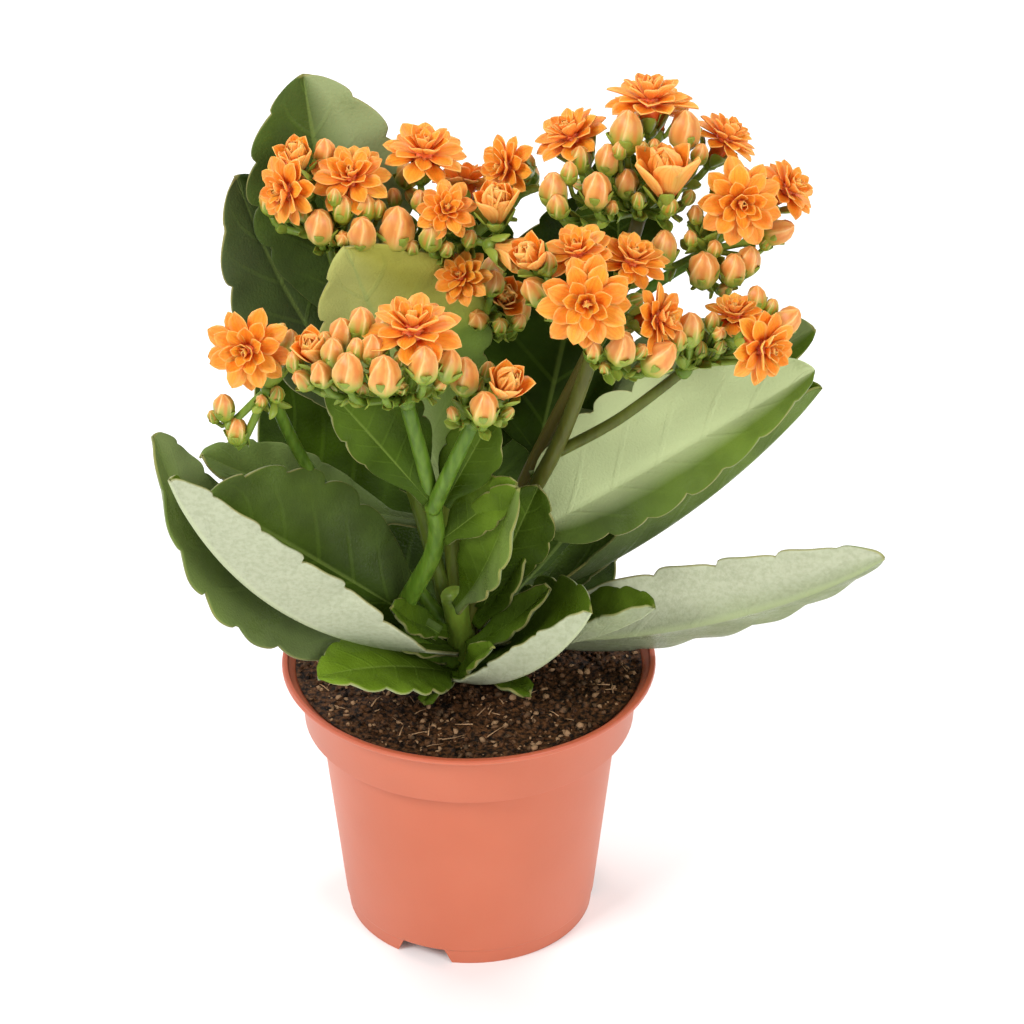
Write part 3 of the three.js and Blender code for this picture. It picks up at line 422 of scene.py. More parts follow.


# %% [markdown]
# ## Leaves
#
# Each leaf grows from a stalk, widens past its middle and ends in a blunt tip, and its rim is cut into round
# lobes. A grid is bent to that surface: along the midrib, out to each side, and up at the fold.
# It is then extruded through its thickness, which thins to a rounded rim, into one closed body.
# The list gives each leaf's place, the way it faces, its widths, folds, lobes and colours.

# %% Leaf places
# Stalk, tip, facing, half widths, folds in degrees, bow up and to the right. In mm.
# Then its lobes, the shares at which they begin and the blade is widest, its tone,
# and the paleness below and the painted sheen above, each at its left and right rim.
# Tones near 0 on the leaves deep inside the plant are partly painted shade.
LEAVES = {
    "top_left": ((-25, 8, 172), (-43, 22, 249), (0.1, -0.9, 0.4), (21, 23), (8, 8), -3, -2,
        5, 0.3, 0.54, 0.12, (0.5, 0.6), (0.05, 0.5)),
    "back_left": ((-18, 6, 146), (-61, 14, 223), (0.35, -0.75, 0.5), (17, 18), (5, 10), -4, -4,
        5, 0.3, 0.54, 0, (0.55, 0.5), (0.1, 0)),
    "olive": ((-5, 2, 133), (-31, -14, 216), (0.1, -0.8, 0.6), (18, 29), (5, 10), -4, 0,
        6, 0.3, 0.54, 1, (0.6, 0.6), (0.32, 0.08)),
    "left_inner": ((-8, -18, 100), (-68, -38, 155), (0.2, -0.8, 0.55), (12, 22), (10, 5), -6, 1,
        5, 0.3, 0.5, 0.2, (0.7, 0.7), (0, 0.05)),
    "left_folded": ((-4, -10, 89), (-76, -52, 169), (0.6, 0.3, 0.7), (21, 8), (56, 50), -14, 0,
        6, 0.2, 0.42, 0.35, (1, 1), (0, 0)),
    "left_low": ((-6, -9, 86), (-82, -30, 169), (0.5, -0.3, 0.75), (20, 16), (5, 20), -19, -3,
        6, 0.3, 0.54, 0.4, (0.5, 0.5), (0.15, 0.3)),
    "front_left": ((-3, -10, 81), (-40, -37, 98), (-0.1, -0.2, 0.95), (17, 14), (8, 8), 3, 0,
        5, 0.3, 0.5, 0.6, (0.6, 0.6), (0, 0)),
    "front_right": ((3, -8, 91), (50, -31, 117), (-0.35, 0, 0.95), (15, 7), (25, 60), -5, 0,
        5, 0.3, 0.5, 0.35, (0.6, 0.6), (0, 0)),
    "front": ((-6, -12, 82), (33, -36, 119), (-0.45, 0.3, 0.85), (27, 9), (42, 62), -7, 3,
        5, 0.2, 0.45, 0.25, (0.9, 0.9), (0, 0)),
    "right_low": ((5, -4, 90), (112, -27, 130), (0, 0.95, 0.35), (18, 21), (25, 12), 0, -12,
        5, 0.3, 0.44, 0.4, (0.5, 1), (0, 0)),
    "right_big": ((12, -15, 127), (92, -14, 180), (-0.1, -0.86, 0.5), (23, 13), (3, 15), 0, 1,
        7, 0.14, 0.38, 0.5, (0.65, 0.55), (0.95, 0.05)),
    "right_under": ((6, -4, 98), (95, -1, 168), (-0.6, 0, 0.8), (17, 14), (50, 60), -8, 0,
        5, 0.3, 0.54, 0.4, (0.1, 0.1), (0, 0)),
    "centre": ((-6, -29, 137), (13, -38, 159), (-0.1, -0.8, 0.6), (8, 6), (5, 10), 0, 0,
        4, 0.3, 0.5, 0.5, (0.3, 0.3), (0, 0)),
    "centre_low": ((-3, -16, 107), (13, -42, 160), (-0.75, -0.5, 0.4), (11, 11), (35, 12), 0, 3,
        4, 0.3, 0.6, 0.4, (0.3, 0.3), (0, 0.1)),
    "centre_right": ((4, -11, 104), (19, -24, 150), (0, -0.95, 0.3), (11, 10), (10, 15), 0, 0,
        4, 0.3, 0.6, 0.15, (0.3, 0.3), (0, 0)),
    "fork_left": ((-10, -36, 153), (-35, -38, 187), (0.2, -0.9, 0.3), (7, 16), (8, 8), 0, 0,
        4, 0.3, 0.54, 0.2, (0.4, 0.4), (0, 0)),
    "fork_right": ((-6, -33, 150), (7, -32, 176), (-0.1, -0.9, 0.4), (8, 8), (5, 5), 0, 0,
        3, 0.3, 0.54, 0.25, (0.4, 0.4), (0, 0)),
    "left_middle": ((-14, 5, 122), (-71, -12, 153), (0, -0.4, 0.9), (13, 13), (10, 10), -4, 0,
        5, 0.3, 0.54, 0.25, (0.5, 0.5), (0.1, 0.1)),
    "right_back": ((17, 4, 138), (93, 4, 183), (-0.3, -0.6, 0.7), (21, 14), (10, 10), -3, 0,
        5, 0.3, 0.42, 0.25, (0.5, 0.5), (0.25, 0)),
    "right_upper": ((41, 9, 186), (40, 19, 229), (0, -0.9, 0.3), (12, 13), (8, 8), 0, 0,
        4, 0.3, 0.54, 0.05, (0.4, 0.4), (0, 0)),
    "rear_left": ((-5, -2, 88), (-58, 46, 148), (0.5, -0.5, 0.7), (22, 22), (15, 15), -10, 0,
        4, 0.3, 0.42, 0.05, (0.5, 0.6), (0, 0)),
    "rear": ((-2, -1, 86), (-6, 74, 138), (0, -0.5, 0.8), (27, 28), (15, 15), -10, 0,
        4, 0.3, 0.52, 0.05, (0.55, 0.45), (0, 0)),
    "rear_low": ((2, -2, 84), (40, 34, 101), (-0.3, -0.3, 0.9), (17, 18), (15, 15), -4, 0,
        4, 0.3, 0.5, 0.1, (0.5, 0.5), (0, 0)),
    "rear_right": ((3, -1, 91), (60, 50, 156), (-0.5, -0.5, 0.7), (22, 22), (15, 15), -10, 0,
        4, 0.3, 0.42, 0.1, (0.45, 0.55), (0, 0)),
    "rear_upper_left": ((-4, 8, 129), (-1, 46, 202), (0.05, -0.8, 0.4), (26, 27), (12, 12), -5, 0,
        4, 0.3, 0.45, 0, (0.5, 0.4), (0, 0)),
    "rear_upper_right": ((17, 8, 133), (34, 30, 210), (-0.2, -0.8, 0.4), (25, 18), (12, 12), -5, 0,
        4, 0.3, 0.45, 0, (0.4, 0.5), (0, 0)),
}
print(len(LEAVES), "leaves")

# %% Leaf surface
STALK_SHARE = 0.1  # of the leaf's length
STALK_HALF_WIDTH = 2.2 * MM
LOBE_DEPTH = 0.16
BLADE_HALF_THICKNESS = 0.75 * MM
RIM_HALF_THICKNESS = 0.3 * MM
RIPPLE = 0.5 * MM
SWELL = 1.6 * MM
GROOVE_DEPTH, GROOVE_WIDTH = 0.5 * MM, 1.3 * MM
ROW_LENGTH = 1.1 * MM
HALF_COLUMNS = (0.06, 0.15, 0.3, 0.5, 0.7, 0.85, 0.94, 0.985, 1)
COLUMNS = (*(-side for side in reversed(HALF_COLUMNS)), 0, *HALF_COLUMNS)


def blade_width(share, widest):
    """The half width at a share of the length, as a share of the widest."""
    blade = min(max(share - STALK_SHARE, 0) / (1 - STALK_SHARE), 1)
    return max(math.sin(math.pi * blade ** (math.log(0.5) / math.log(widest))), 0) ** 0.6


def lobe_at(share, lobes, start, shift):
    """How far out a lobed rim lies at a share of the length, and where in its lobe that is."""
    step = (1 - start) / (lobes - 0.35)
    place = (share - start) / step + shift
    if place < 0:
        return 1.0, 0.35
    part = place % 1
    crest = math.sin(math.pi * part**0.66) ** 0.5
    depth = LOBE_DEPTH * min(1, place * 2 + 0.3)
    return 1 - depth + (depth + 0.02) * crest, part


def leaf_surface(spec, lobes, start, widest, seed):
    """A function from (share, side) to a point of the leaf's middle surface."""
    base, tip, faces, halves, folds, arch, sweep = spec
    base, chord = Vector(base) * MM, (Vector(tip) - Vector(base)) * MM
    along = chord.normalized()
    upper = (Vector(faces) - along * along.dot(Vector(faces))).normalized()
    across = along.cross(upper)
    luck = random.Random(seed)
    shifts = (luck.uniform(-0.12, 0.12), luck.uniform(-0.12, 0.12))

    def surface(share, side):
        right = side > 0
        bow = 4 * share * (1 - share)
        rim, part = lobe_at(share, lobes, start, shifts[right] * min(1, 4 * (1 - share)))
        half = halves[right] * MM * blade_width(share, widest)
        half = (half**3 + (STALK_HALF_WIDTH * min(1, (1 - share) * 60)) ** 3) ** (1 / 3)
        reach = abs(side)
        out = half * reach * (1 - reach * reach * (1 - rim))
        fold = math.radians(folds[right]) * min(1, 0.3 + 1.5 * share)
        rise = out * math.sin(fold) * reach / (reach + 0.12) * 1.12
        # The rim ripples with its lobes, and the whole blade is never quite flat.
        ripple = RIPPLE * reach**3 * math.cos(2 * math.pi * part) * min(1, share * 2)
        swell = SWELL * reach * noise.noise(Vector((share * 2.5, side * 0.8, seed * 7.3)))
        groove = GROOVE_DEPTH * math.exp(-((out / GROOVE_WIDTH) ** 2)) * min(1, share * 4)
        lift = arch * MM * bow + rise + (ripple + swell) * min(1, share * 3) - groove
        drift = sweep * MM * bow + math.copysign(out * math.cos(fold), side)
        return base + chord * share + upper * lift + across * drift

    return surface


# %% Leaf blade
MIDRIB_BLEND, BLEND_SLOPE = 0.1, 2  # how the left rim's colours pass into the right rim's


def row_shares(length):
    """Shares along a leaf at which a row of its grid lies, closer together near the tip."""
    rows = max(round(length / ROW_LENGTH), 14)
    even = [i / rows * 0.97 for i in range(rows + 1)]
    return even + [0.98, 0.988, 0.994, 0.998, 1]


def leaf_mesh(spec, lobes, start, widest, tone, pale, painted_sheen, seed):
    """A closed blade around the middle surface."""
    surface = leaf_surface(spec, lobes, start, widest, seed)
    shares = row_shares((Vector(spec[1]) - Vector(spec[0])).length * MM)
    part = new_part()
    share_at, side_at, under_at, tone_at = readings(part, *READINGS)
    columns, rows = len(COLUMNS) - 1, len(shares) - 1
    bmesh.ops.create_grid(part, x_segments=columns, y_segments=rows, size=1)
    for vert in part.verts:
        share = shares[round((vert.co.y + 1) / 2 * rows)]
        side = COLUMNS[round((vert.co.x + 1) / 2 * columns)]
        vert[share_at], vert[side_at], vert[tone_at] = share, side, tone
        vert.co = surface(share, side)
    part.normal_update()
    # The extrusion turns the lower side's normals over, so the way up is kept first.
    up_at = part.verts.layers.float_vector.new("up")
    for vert in part.verts:
        vert[up_at] = vert.normal
    lower, raised = thicken(part)
    # The raised side stores its painted sheen in "under", as a minus.
    for verts, (left, right), sign in ((lower, pale, -1), (raised, painted_sheen, 1)):
        for vert in verts:
            blend = min(max(MIDRIB_BLEND + vert[side_at] * BLEND_SLOPE, 0), 1)
            vert[under_at] = -sign * (left + (right - left) * blend)
            reach = min(abs(vert[side_at]), 1)
            body = math.sqrt(max(1 - reach**6, 0)) * min(1, (1 - vert[share_at]) * 12 + 0.1)
            rib = 0.5 * math.exp(-((reach / 0.06) ** 2)) if sign < 0 else 0
            half = RIM_HALF_THICKNESS + (BLADE_HALF_THICKNESS - RIM_HALF_THICKNESS) * (body + rib)
            vert.co += vert[up_at] * half * sign
    part.verts.layers.float_vector.remove(up_at)
    return as_mesh(part, "blade")


# %% Grow the leaves
for number, (name, values) in enumerate(LEAVES.items()):
    piece = new_part()
    pour(piece, leaf_mesh(values[:7], *values[7:], number + 1))
    finish_piece(piece, f"leaf_{name}_blade", [LEAF], "leaf", f"leaf_{name}")

# %% [markdown]
# ## Blooms
#
# A double bloom is a rosette: rings of pointed petals, the outer ring nearly flat and each inner one steeper.
# One petal is made of a small grid and used for all of them, because there are hundreds.
# It is shaped at unit length along +X, cupped across and slightly bent back at its tip.

# %% Petal and bud shapes
PETAL_SHARES = (0, 0.2, 0.42, 0.62, 0.8, 0.92, 1)
PETAL_WIDTHS = (0.1, 0.2, 0.285, 0.315, 0.25, 0.13, 0.01)
PETAL_SIDES = (-1, -0.55, 0, 0.55, 1)
PETAL_THICKNESS = 0.03
BUD_PROFILE = ((0, -1), (0.42, -0.92), (0.7, -0.6), (0.78, -0.2), (0.75, 0.2), (0.6, 0.58), (0.32, 0.87),
               (0.08, 0.99), (0, 1.03))
BUD_PETALS = 5
BUD_TWIST = 0.6  # radians from root to tip
SEAM_PINCH = 0.11


def petal_mesh(cup, curl):
    """A petal of unit length; cup lifts its sides, and curl bends its tip up."""
    part = new_part()
    share_at, side_at, under_at = readings(part, "share", "side", "under")
    rows, columns = len(PETAL_SHARES) - 1, len(PETAL_SIDES) - 1
    bmesh.ops.create_grid(part, x_segments=rows, y_segments=columns, size=1)
    for vert in part.verts:
        row, column = round((vert.co.x + 1) / 2 * rows), round((vert.co.y + 1) / 2 * columns)
        share, side, width = PETAL_SHARES[row], PETAL_SIDES[column], PETAL_WIDTHS[row]
        vert[share_at], vert[side_at] = share, side
        lift = cup * width * side**2 - 0.03 * (1 - abs(side)) + curl * share**2
        vert.co = (share * (1 - 0.1 * abs(curl)), side * width, lift)
    lower, raised = thicken(part)
    for vert in lower:
        vert[under_at] = 1
    bmesh.ops.translate(part, verts=raised, vec=(0, 0, PETAL_THICKNESS))
    return as_mesh(part, "petal")


def bud_mesh():
    """A closed bud of half length 1, whose petals overlap in a spiral and meet in a point."""
    sides = 3 * BUD_PETALS
    part = turned_part(BUD_PROFILE, sides)
    share_at, side_at = readings(part, "share", "side")
    for vert in part.verts:
        share = (vert.co.z + 1) / 2
        step = round(math.atan2(vert.co.y, vert.co.x) / (2 * math.pi / sides)) % 3
        on_axis = vert.co.xy.length < 0.01
        vert[share_at] = share
        vert[side_at] = 0.4 if on_axis else step / 2
        pinch = 1 - SEAM_PINCH * step * min(1, share * 2.5)
        twist = Matrix.Rotation(BUD_TWIST * share * share, 3, "Z")
        vert.co = twist @ Vector((vert.co.x * pinch, vert.co.y * pinch, vert.co.z))
    return as_mesh(part, "bud")


FLAT_PETAL = petal_mesh(0.25, -0.05)
CUPPED_PETAL = petal_mesh(0.4, 0.08)
CURVED_PETAL = petal_mesh(0.6, 0.22)
BUD_SHAPE = bud_mesh()
print("petal faces", len(FLAT_PETAL.polygons), "bud faces", len(BUD_SHAPE.polygons))

# %% [markdown]
# A flower faces a compass direction and a rise: compass 0 is the front of the plant.
# The rings below are given as shares of the bloom's radius, so that small and large blooms have one shape.

# %% Build a bloom
BLOOM_NECK = 7 * MM  # from the spread of the petals down to the green cup
TUBE_RADIUS = 1.5 * MM
# petals, shape, root radius, height, length, rise in degrees
BLOOM_RINGS = (
    (9, FLAT_PETAL, 0.26, 0.0, 0.78, 4),
    (8, FLAT_PETAL, 0.2, 0.08, 0.72, 21),
    (7, CUPPED_PETAL, 0.14, 0.15, 0.6, 40),
    (5, CUPPED_PETAL, 0.08, 0.22, 0.46, 58),
    (4, CURVED_PETAL, 0.04, 0.26, 0.34, 76),
)


def placed(flower, lift=0, steepest=180):
    """A flower's pose, with its own direction as +Z and perhaps more upright, and its radius."""
    *spot, compass, rise, radius = flower
    turn = about("Z", math.radians(compass)) @ about("X", math.radians(90 - min(rise + lift, steepest)))
    return Matrix.Translation(Vector(spot) * MM) @ turn, radius * MM


def pour_petals(piece, pose, radius, rings, luck, slot=0):
    """Rings of petals around a flower's axis, each petal a little different."""
    for count, shape, root, height, length, rise in rings:
        start = luck.uniform(0, 2 * math.pi)
        for i in range(count):
            angle = start + (i + luck.uniform(-0.16, 0.16)) * 2 * math.pi / count
            tilt = math.radians(rise + luck.uniform(-9, 9))
            size = radius * length * luck.uniform(0.86, 1.06)
            place = about("Z", angle) @ Matrix.Translation((radius * root, 0, radius * height))
            place = place @ about("Y", -tilt) @ about("X", luck.uniform(-0.25, 0.25))
            pour(piece, shape, pose @ place @ Matrix.Scale(size, 4), slot, luck.random())


def bloom_piece(name, flower, seed):
    pose, radius = placed(flower)
    piece = new_part()
    tube = [pose @ Vector((0, 0, height)) for height in (-BLOOM_NECK, -BLOOM_NECK / 2, 0.1 * radius)]
    pour_stalk(piece, tube, (TUBE_RADIUS, 0.3 * radius), tone=0.3)
    pour_petals(piece, pose, radius, BLOOM_RINGS, random.Random(seed))
    finish_piece(piece, f"{name}_petals", [PETAL], "petal", name)


# %% [markdown]
# ## Flower heads
#
# A head is carried by one stem, which parts at a knuckle into flower stalks.
# Each stalk ends in a green cup of pointed sepals that holds a bloom, a half-open bloom or a bud.
# The list says where every flower is and which way it faces.

# %% Head places
# A head is its stem's path, the radii at the stem's two ends, and its open blooms, half-open blooms, buds and
# small buds. A flower is (x, y, z, compass, rise, radius) in mm and degrees.
Head = namedtuple("Head", "stem radii blooms halves buds small")
HEADS = {}
HEADS["left"] = Head(
    ((-3, -6, 88), (-14, 3, 130), (-28, 7, 175), (-36, 3, 209)), (2.4, 1.8),
    ((-46, -4, 228, -50, 12, 10), (-30, 0, 229, -5, 60, 11)),
    ((-44, 4, 232, -20, 70, 4.2),),
    ((-37, 6, 234, 0, 80, 3.1), (-38, -9, 220, -15, 55, 3.9), (-27, -11, 219, 0, 50, 3.9),
     (-32, -7, 224, -15, 65, 3), (-30, 14, 227, 170, 55, 3.2), (-52, 8, 219, -110, 60, 3),
     (-26, -6, 224, 10, 60, 2.8)),
    ((-23, -5, 223, 20, 50, 2.3), (-42, -6, 223, -60, 60, 2.2), (-34, -8, 228, -20, 70, 1.9),
     (-48, -2, 220, -70, 20, 2), (-32, -10, 217, 0, 20, 2.2), (-35, -8, 216, -30, 30, 1.8)))
HEADS["middle"] = Head(
    ((-3, -5, 90), (-5, 7, 140), (-2, 9, 180), (0, 6, 207)), (2.4, 1.8),
    ((-11, 8, 232, 35, 78, 11.6), (-5, -8, 224, 10, 45, 8.6), (11, 7, 229, -50, 25, 9.4),
     (0, 17, 219, 170, 50, 9.5)),
    ((8, -9, 224, -5, 75, 4.8), (10, -13, 215, 60, -5, 4.3)),
    ((-18, -8, 219, 20, 60, 4.8), (-9, -11, 218, 0, 50, 3.2), (-16, 15, 223, -10, 35, 3.2),
     (16, 17, 221, 110, 40, 3.4)),
    ((-5, -10, 214, 10, 30, 2.1), (-14, -9, 214, -10, 30, 2), (-19, 4, 222, -40, 50, 2.2),
     (1, -8, 216, 20, 40, 2.2), (-12, -4, 225, -20, 60, 2.4), (-21, -6, 212, -30, 20, 1.8)))
HEADS["right"] = Head(
    ((-2, -5, 86), (14, 5, 130), (36, 8, 180), (46, 4, 217)), (2.6, 1.9),
    ((48, 8, 247, 0, 98, 12.3), (28, 8, 237, -80, 65, 10.5), (68, 9, 236, 90, 60, 9.8),
     (51, 25, 237, 170, 45, 10)),
    ((52, -10, 233, 0, 85, 6.2),),
    ((42, -2, 244, -10, 82, 4.5), (57, 1, 243, 15, 80, 4.2), (34, -12, 232, -10, 62, 3.9),
     (23, -8, 230, -50, 60, 3.9), (42, -4, 230, 10, 60, 3.2), (37, -4, 237, -15, 70, 3.3),
     (31, 18, 229, -150, 45, 3.2), (30, 0, 235, -50, 60, 2.9), (24, -11, 227, -30, 45, 3)),
    ((46, -4, 240, 10, 50, 1.7), (49, -3, 240, 30, 70, 1.8), (61, -3, 238, 40, 50, 2.4),
     (27, -8, 235, -40, 70, 2.4), (45, -8, 227, -20, 50, 2), (58, -8, 228, 40, 40, 1.9),
     (38, -10, 226, 0, 30, 1.9), (53, -11, 227, 0, 40, 2.3), (40, -5, 240, -30, 60, 2)))
HEADS["right_outer"] = Head(
    ((37, 8, 182), (50, 4, 196), (63, -5, 210)), (1.6, 1.4),
    ((71, -13, 229, 8, 18, 11.8), (84, 0, 226, 70, 45, 9)),
    (),
    ((62, -14, 210, 0, 50, 4.2), (70, -12, 209, 20, 55, 3.6), (82, -6, 217, 75, 5, 3.4),
     (52, -9, 214, -10, 70, 3.7), (74, -9, 210, 55, 55, 3.3), (73, 12, 222, 150, 40, 3.4)),
    ((65, -10, 214, 10, 50, 2.1), (79, -6, 214, 60, 40, 2), (59, -8, 216, -40, 50, 2),
     (68, -10, 202, 30, 20, 2), (60, -8, 223, -20, 50, 2.2)))
HEADS["centre"] = Head(
    ((-2, -7, 92), (10, -12, 126), (24, -20, 160), (33, -30, 193)), (2.5, 1.9),
    ((31, -46, 217, 0, 22, 12.2), (49, -38, 208, 60, 18, 9.4), (43, -24, 217, 40, 70, 9.8),
     (29, -27, 221, -30, 68, 9.6)),
    ((18, -33, 222, -50, 50, 4),),
    ((40, -46, 204, 5, 45, 4), (50, -42, 199, 70, 30, 4.3), (18, -36, 215, -60, 30, 3.5),
     (33, -14, 207, 180, 30, 3.4), (21, -34, 222, -30, 60, 2.6)),
    ((33, -44, 202, -10, 40, 2.3), (45, -44, 202, 30, 30, 2), (45, -38, 193, 20, 20, 2),
     (55, -38, 202, 60, 70, 2.2), (36, -40, 195, -20, 20, 1.8), (22, -34, 208, -50, 30, 2.2)))
HEADS["right_low"] = Head(
    ((22, -18, 156), (40, -23, 170), (57, -27, 187)), (1.7, 1.4),
    ((76, -40, 201, 40, 8, 10.4), (70, -24, 201, -10, 85, 8.4)),
    (),
    ((58, -34, 203, -10, 75, 3.6), (84, -18, 197, 70, 25, 3.6), (76, -15, 202, 20, 65, 2.8)),
    ((80, -15, 199, 50, 50, 2.3), (64, -30, 203, 0, 60, 2.2), (61, -32, 196, 20, 70, 1.8),
     (81, -24, 196, 60, 60, 2), (66, -32, 197, 30, 50, 1.7)))
HEADS["front"] = Head(
    ((-3, -7, 84), (-19, -14, 99), (-9, -26, 131), (-9, -33, 151), (-15, -46, 188)), (3.1, 1.9),
    ((-13, -53, 212, 0, 78, 12.6),),
    ((-38, -50, 204, -40, 65, 3.9),),
    ((-20, -64, 206, 0, 58, 4.3), (-10, -62, 208, 10, 58, 4), (-29, -62, 206, -15, 58, 4.1),
     (-36, -58, 203, -30, 45, 3.1), (-26, -50, 213, -15, 75, 3.6), (-31, -50, 210, -35, 70, 3.5),
     (-33, -56, 208, -30, 60, 3.2), (-4, -55, 204, 55, 55, 3.6), (-20, -38, 206, 170, 40, 3.4),
     (-23, -58, 210, -5, 65, 3.2), (-27, -58, 210, -10, 70, 2.5), (-43, -50, 202, -60, 50, 2.5),
     (-41, -52, 198, -55, 25, 2.7)),
    ((-16, -58, 207, 0, 50, 2.2), (-34, -54, 197, -25, 20, 2), (-26, -56, 198, -5, 20, 2),
     (-6, -54, 198, 30, 30, 1.9), (-16, -56, 198, 5, 20, 1.9), (-35, -50, 208, -40, 50, 2.3)))
HEADS["front_right"] = Head(
    ((-9, -34, 149), (-4, -41, 165), (2, -44, 181)), (2.3, 1.8),
    (),
    ((10, -50, 194, 40, 62, 4.3),),
    ((0, -48, 197, -15, 75, 4), (5, -56, 192, 0, 55, 3.8), (3, -44, 192, 10, 60, 2.5)),
    ((-3, -50, 187, -50, 40, 1.8), (11, -48, 186, 60, 30, 1.7), (6, -44, 196, 20, 70, 2.2)))
HEADS["far_left"] = Head(
    ((-3, -7, 92), (-24, -7, 121), (-42, -14, 149), (-51, -34, 185)), (2.1, 1.6),
    ((-55, -43, 202, -15, 18, 11.4),),
    (),
    ((-63, -34, 180, -40, 60, 2.9), (-60, -34, 173, -10, 65, 3), (-46, -28, 195, 150, 45, 3.2)),
    ((-49, -36, 185, 20, 50, 2), (-66, -32, 176, -60, 40, 1.6), (-53, -36, 183, 0, 30, 1.7)))
HEADS["rear"] = Head(
    ((-3, 8, 148), (1, 14, 162), (3, 17, 173)), (1.7, 1.4),
    ((-1, -7, 204, -20, 42, 8.4),),
    ((10, 6, 191, 15, 40, 4),),
    ((7, -4, 201, 20, 45, 3.2), (3, 2, 187, -10, 20, 3), (14, 16, 182, 60, 40, 3.4),
     (7, 26, 189, 160, 45, 3.4)),
    ((14, 2, 186, 30, 40, 2.2), (9, 0, 186, 0, 30, 2.2), (-6, 4, 192, -30, 50, 2.2)))
print(len(HEADS), "heads,", sum(len(head.blooms) for head in HEADS.values()), "open blooms")

# %% Grow the blooms
for number, (head_name, head) in enumerate(HEADS.items()):
    for i, flower in enumerate(head.blooms):
        bloom_piece(f"bloom_{head_name}_{i + 1}", flower, 100 * number + i)

# %% [markdown]
# ## Sprays
#
# The green part of a head is one piece: the knuckle with its bracts, the stalks with their cups and sepals,
# and the buds. Small buds fill the gaps, and each bloom's stalk also gets a side bud partway up.
# A half-open bloom is steep rings of petals in such a cup.

# %% Parts of a spray
STALK_RADIUS = 0.95 * MM
FORK = 4  # the step of a stalk's path at which its bracts and its side bud grow
KNUCKLE_RADIUS = 2.3 * MM
BRACTS, BRACT_LEAN, BRACT_LENGTH = 7, (35, 65), (6, 10)
FORK_LEAN, FORK_LENGTH = (30, 55), (4, 6)  # of the bracts partway up a stalk
SEPALS, SEPAL_LEAN, SEPAL_LENGTH = 4, (42, 54), 2.7  # the length in radii of the cup
CUP_PROFILE = ((0, -1), (0.5, -0.9), (0.95, -0.35), (1.05, 0.25), (0.9, 0.6), (0, 0.6))
BLOOM_CUP_RADIUS = 2.4 * MM
BUD_SLENDERNESS = 1.35  # half its length over its radius
BUD_LIFT = 25  # degrees that a bud stands more upright than the flowers beside it
STEEPEST = 88
RIPE_RADIUS = 4.2 * MM
RIPENESS_SPREAD = 0.45
SIDE_BUD_RADIUS, SIDE_STALK_LENGTH = (1.6, 2.7), (6, 9)
CUP = as_mesh(turned_part(CUP_PROFILE, 8), "cup")
HALF_OPEN_RINGS = (
    (6, CUPPED_PETAL, 0.35, -0.5, 2.3, 60),
    (6, CURVED_PETAL, 0.2, -0.3, 2.1, 72),
    (4, CURVED_PETAL, 0.08, -0.2, 2.0, 84),
)


def pour_cup(piece, pose, radius, height, luck):
    """A green cup with four pointed sepals around it."""
    base = pose @ Matrix.Translation((0, 0, height))
    pour(piece, CUP, base @ Matrix.Scale(radius, 4), 0, 0.35)
    for i in range(SEPALS):
        spin = about("Z", 2 * math.pi / SEPALS * (i + luck.uniform(-0.1, 0.1)))
        lean = about("Y", math.radians(-luck.uniform(*SEPAL_LEAN)))
        root = Matrix.Translation((radius * 0.95, 0, -radius * 0.2))
        place = base @ spin @ root @ lean @ Matrix.Scale(radius * SEPAL_LENGTH, 4)
        pour(piece, CURVED_PETAL, place, 0, luck.uniform(0.5, 0.9))


def pour_bud(piece, pose, radius, luck):
    half = radius * BUD_SLENDERNESS
    spin = about("Z", luck.uniform(0, 6))
    ripeness = min(radius / RIPE_RADIUS, 1) - luck.uniform(0, RIPENESS_SPREAD)
    pour(piece, BUD_SHAPE, pose @ spin @ Matrix.Scale(half, 4), 1, ripeness)
    pour_cup(piece, pose, radius * 0.5, -half * 0.85, luck)


def stalk_to(root, pose, height):
    """A path from a knuckle that turns into the flower's own direction."""
    end = pose @ Vector((0, 0, height))
    facing = pose.to_3x3() @ Vector((0, 0, 1))
    reach = (end - root).length
    start = root + (end - root).normalized() * reach * 0.25 + Vector((0, 0, reach * 0.1))
    return interpolate_bezier(root, start, end - facing * reach * 0.35, end, 8)


def heading_at_fork(path):
    return (path[FORK + 1] - path[FORK - 1]).normalized()


def pointing(spot, heading):
    """A pose at a point, with +Z along a heading."""
    return Matrix.Translation(spot) @ heading.to_track_quat("Z", "Y").to_matrix().to_4x4()


def pour_bracts(piece, path, luck):
    """A pair of small green leaves partway up a stalk."""
    pose = pointing(path[FORK], heading_at_fork(path)) @ about("Z", luck.uniform(0, math.pi))
    for side in (0, math.pi):
        lean = about("Z", side) @ about("Y", math.radians(-luck.uniform(*FORK_LEAN)))
        size = Matrix.Scale(luck.uniform(*FORK_LENGTH) * MM, 4)
        pour(piece, CURVED_PETAL, pose @ lean @ size, 0, luck.uniform(0.4, 0.8))


def side_bud(piece, path, luck):
    """A small bud on a short stalk of its own, partway up a flower's stalk."""
    along = heading_at_fork(path)
    aside = along.orthogonal().normalized()
    aside.rotate(Matrix.Rotation(luck.uniform(0, 2 * math.pi), 3, along))
    heading = (along + aside * 0.9 + Vector((0, 0, 0.3))).normalized()
    radius = luck.uniform(*SIDE_BUD_RADIUS) * MM
    pose = pointing(path[FORK] + heading * luck.uniform(*SIDE_STALK_LENGTH) * MM, heading)
    end = pose @ Vector((0, 0, -radius * BUD_SLENDERNESS))
    line = [path[FORK], (path[FORK] + end) / 2, end]
    pour_stalk(piece, line, (STALK_RADIUS * 0.8, STALK_RADIUS * 0.7), sides=6, tone=0.4)
    pour_bud(piece, pose, radius, luck)


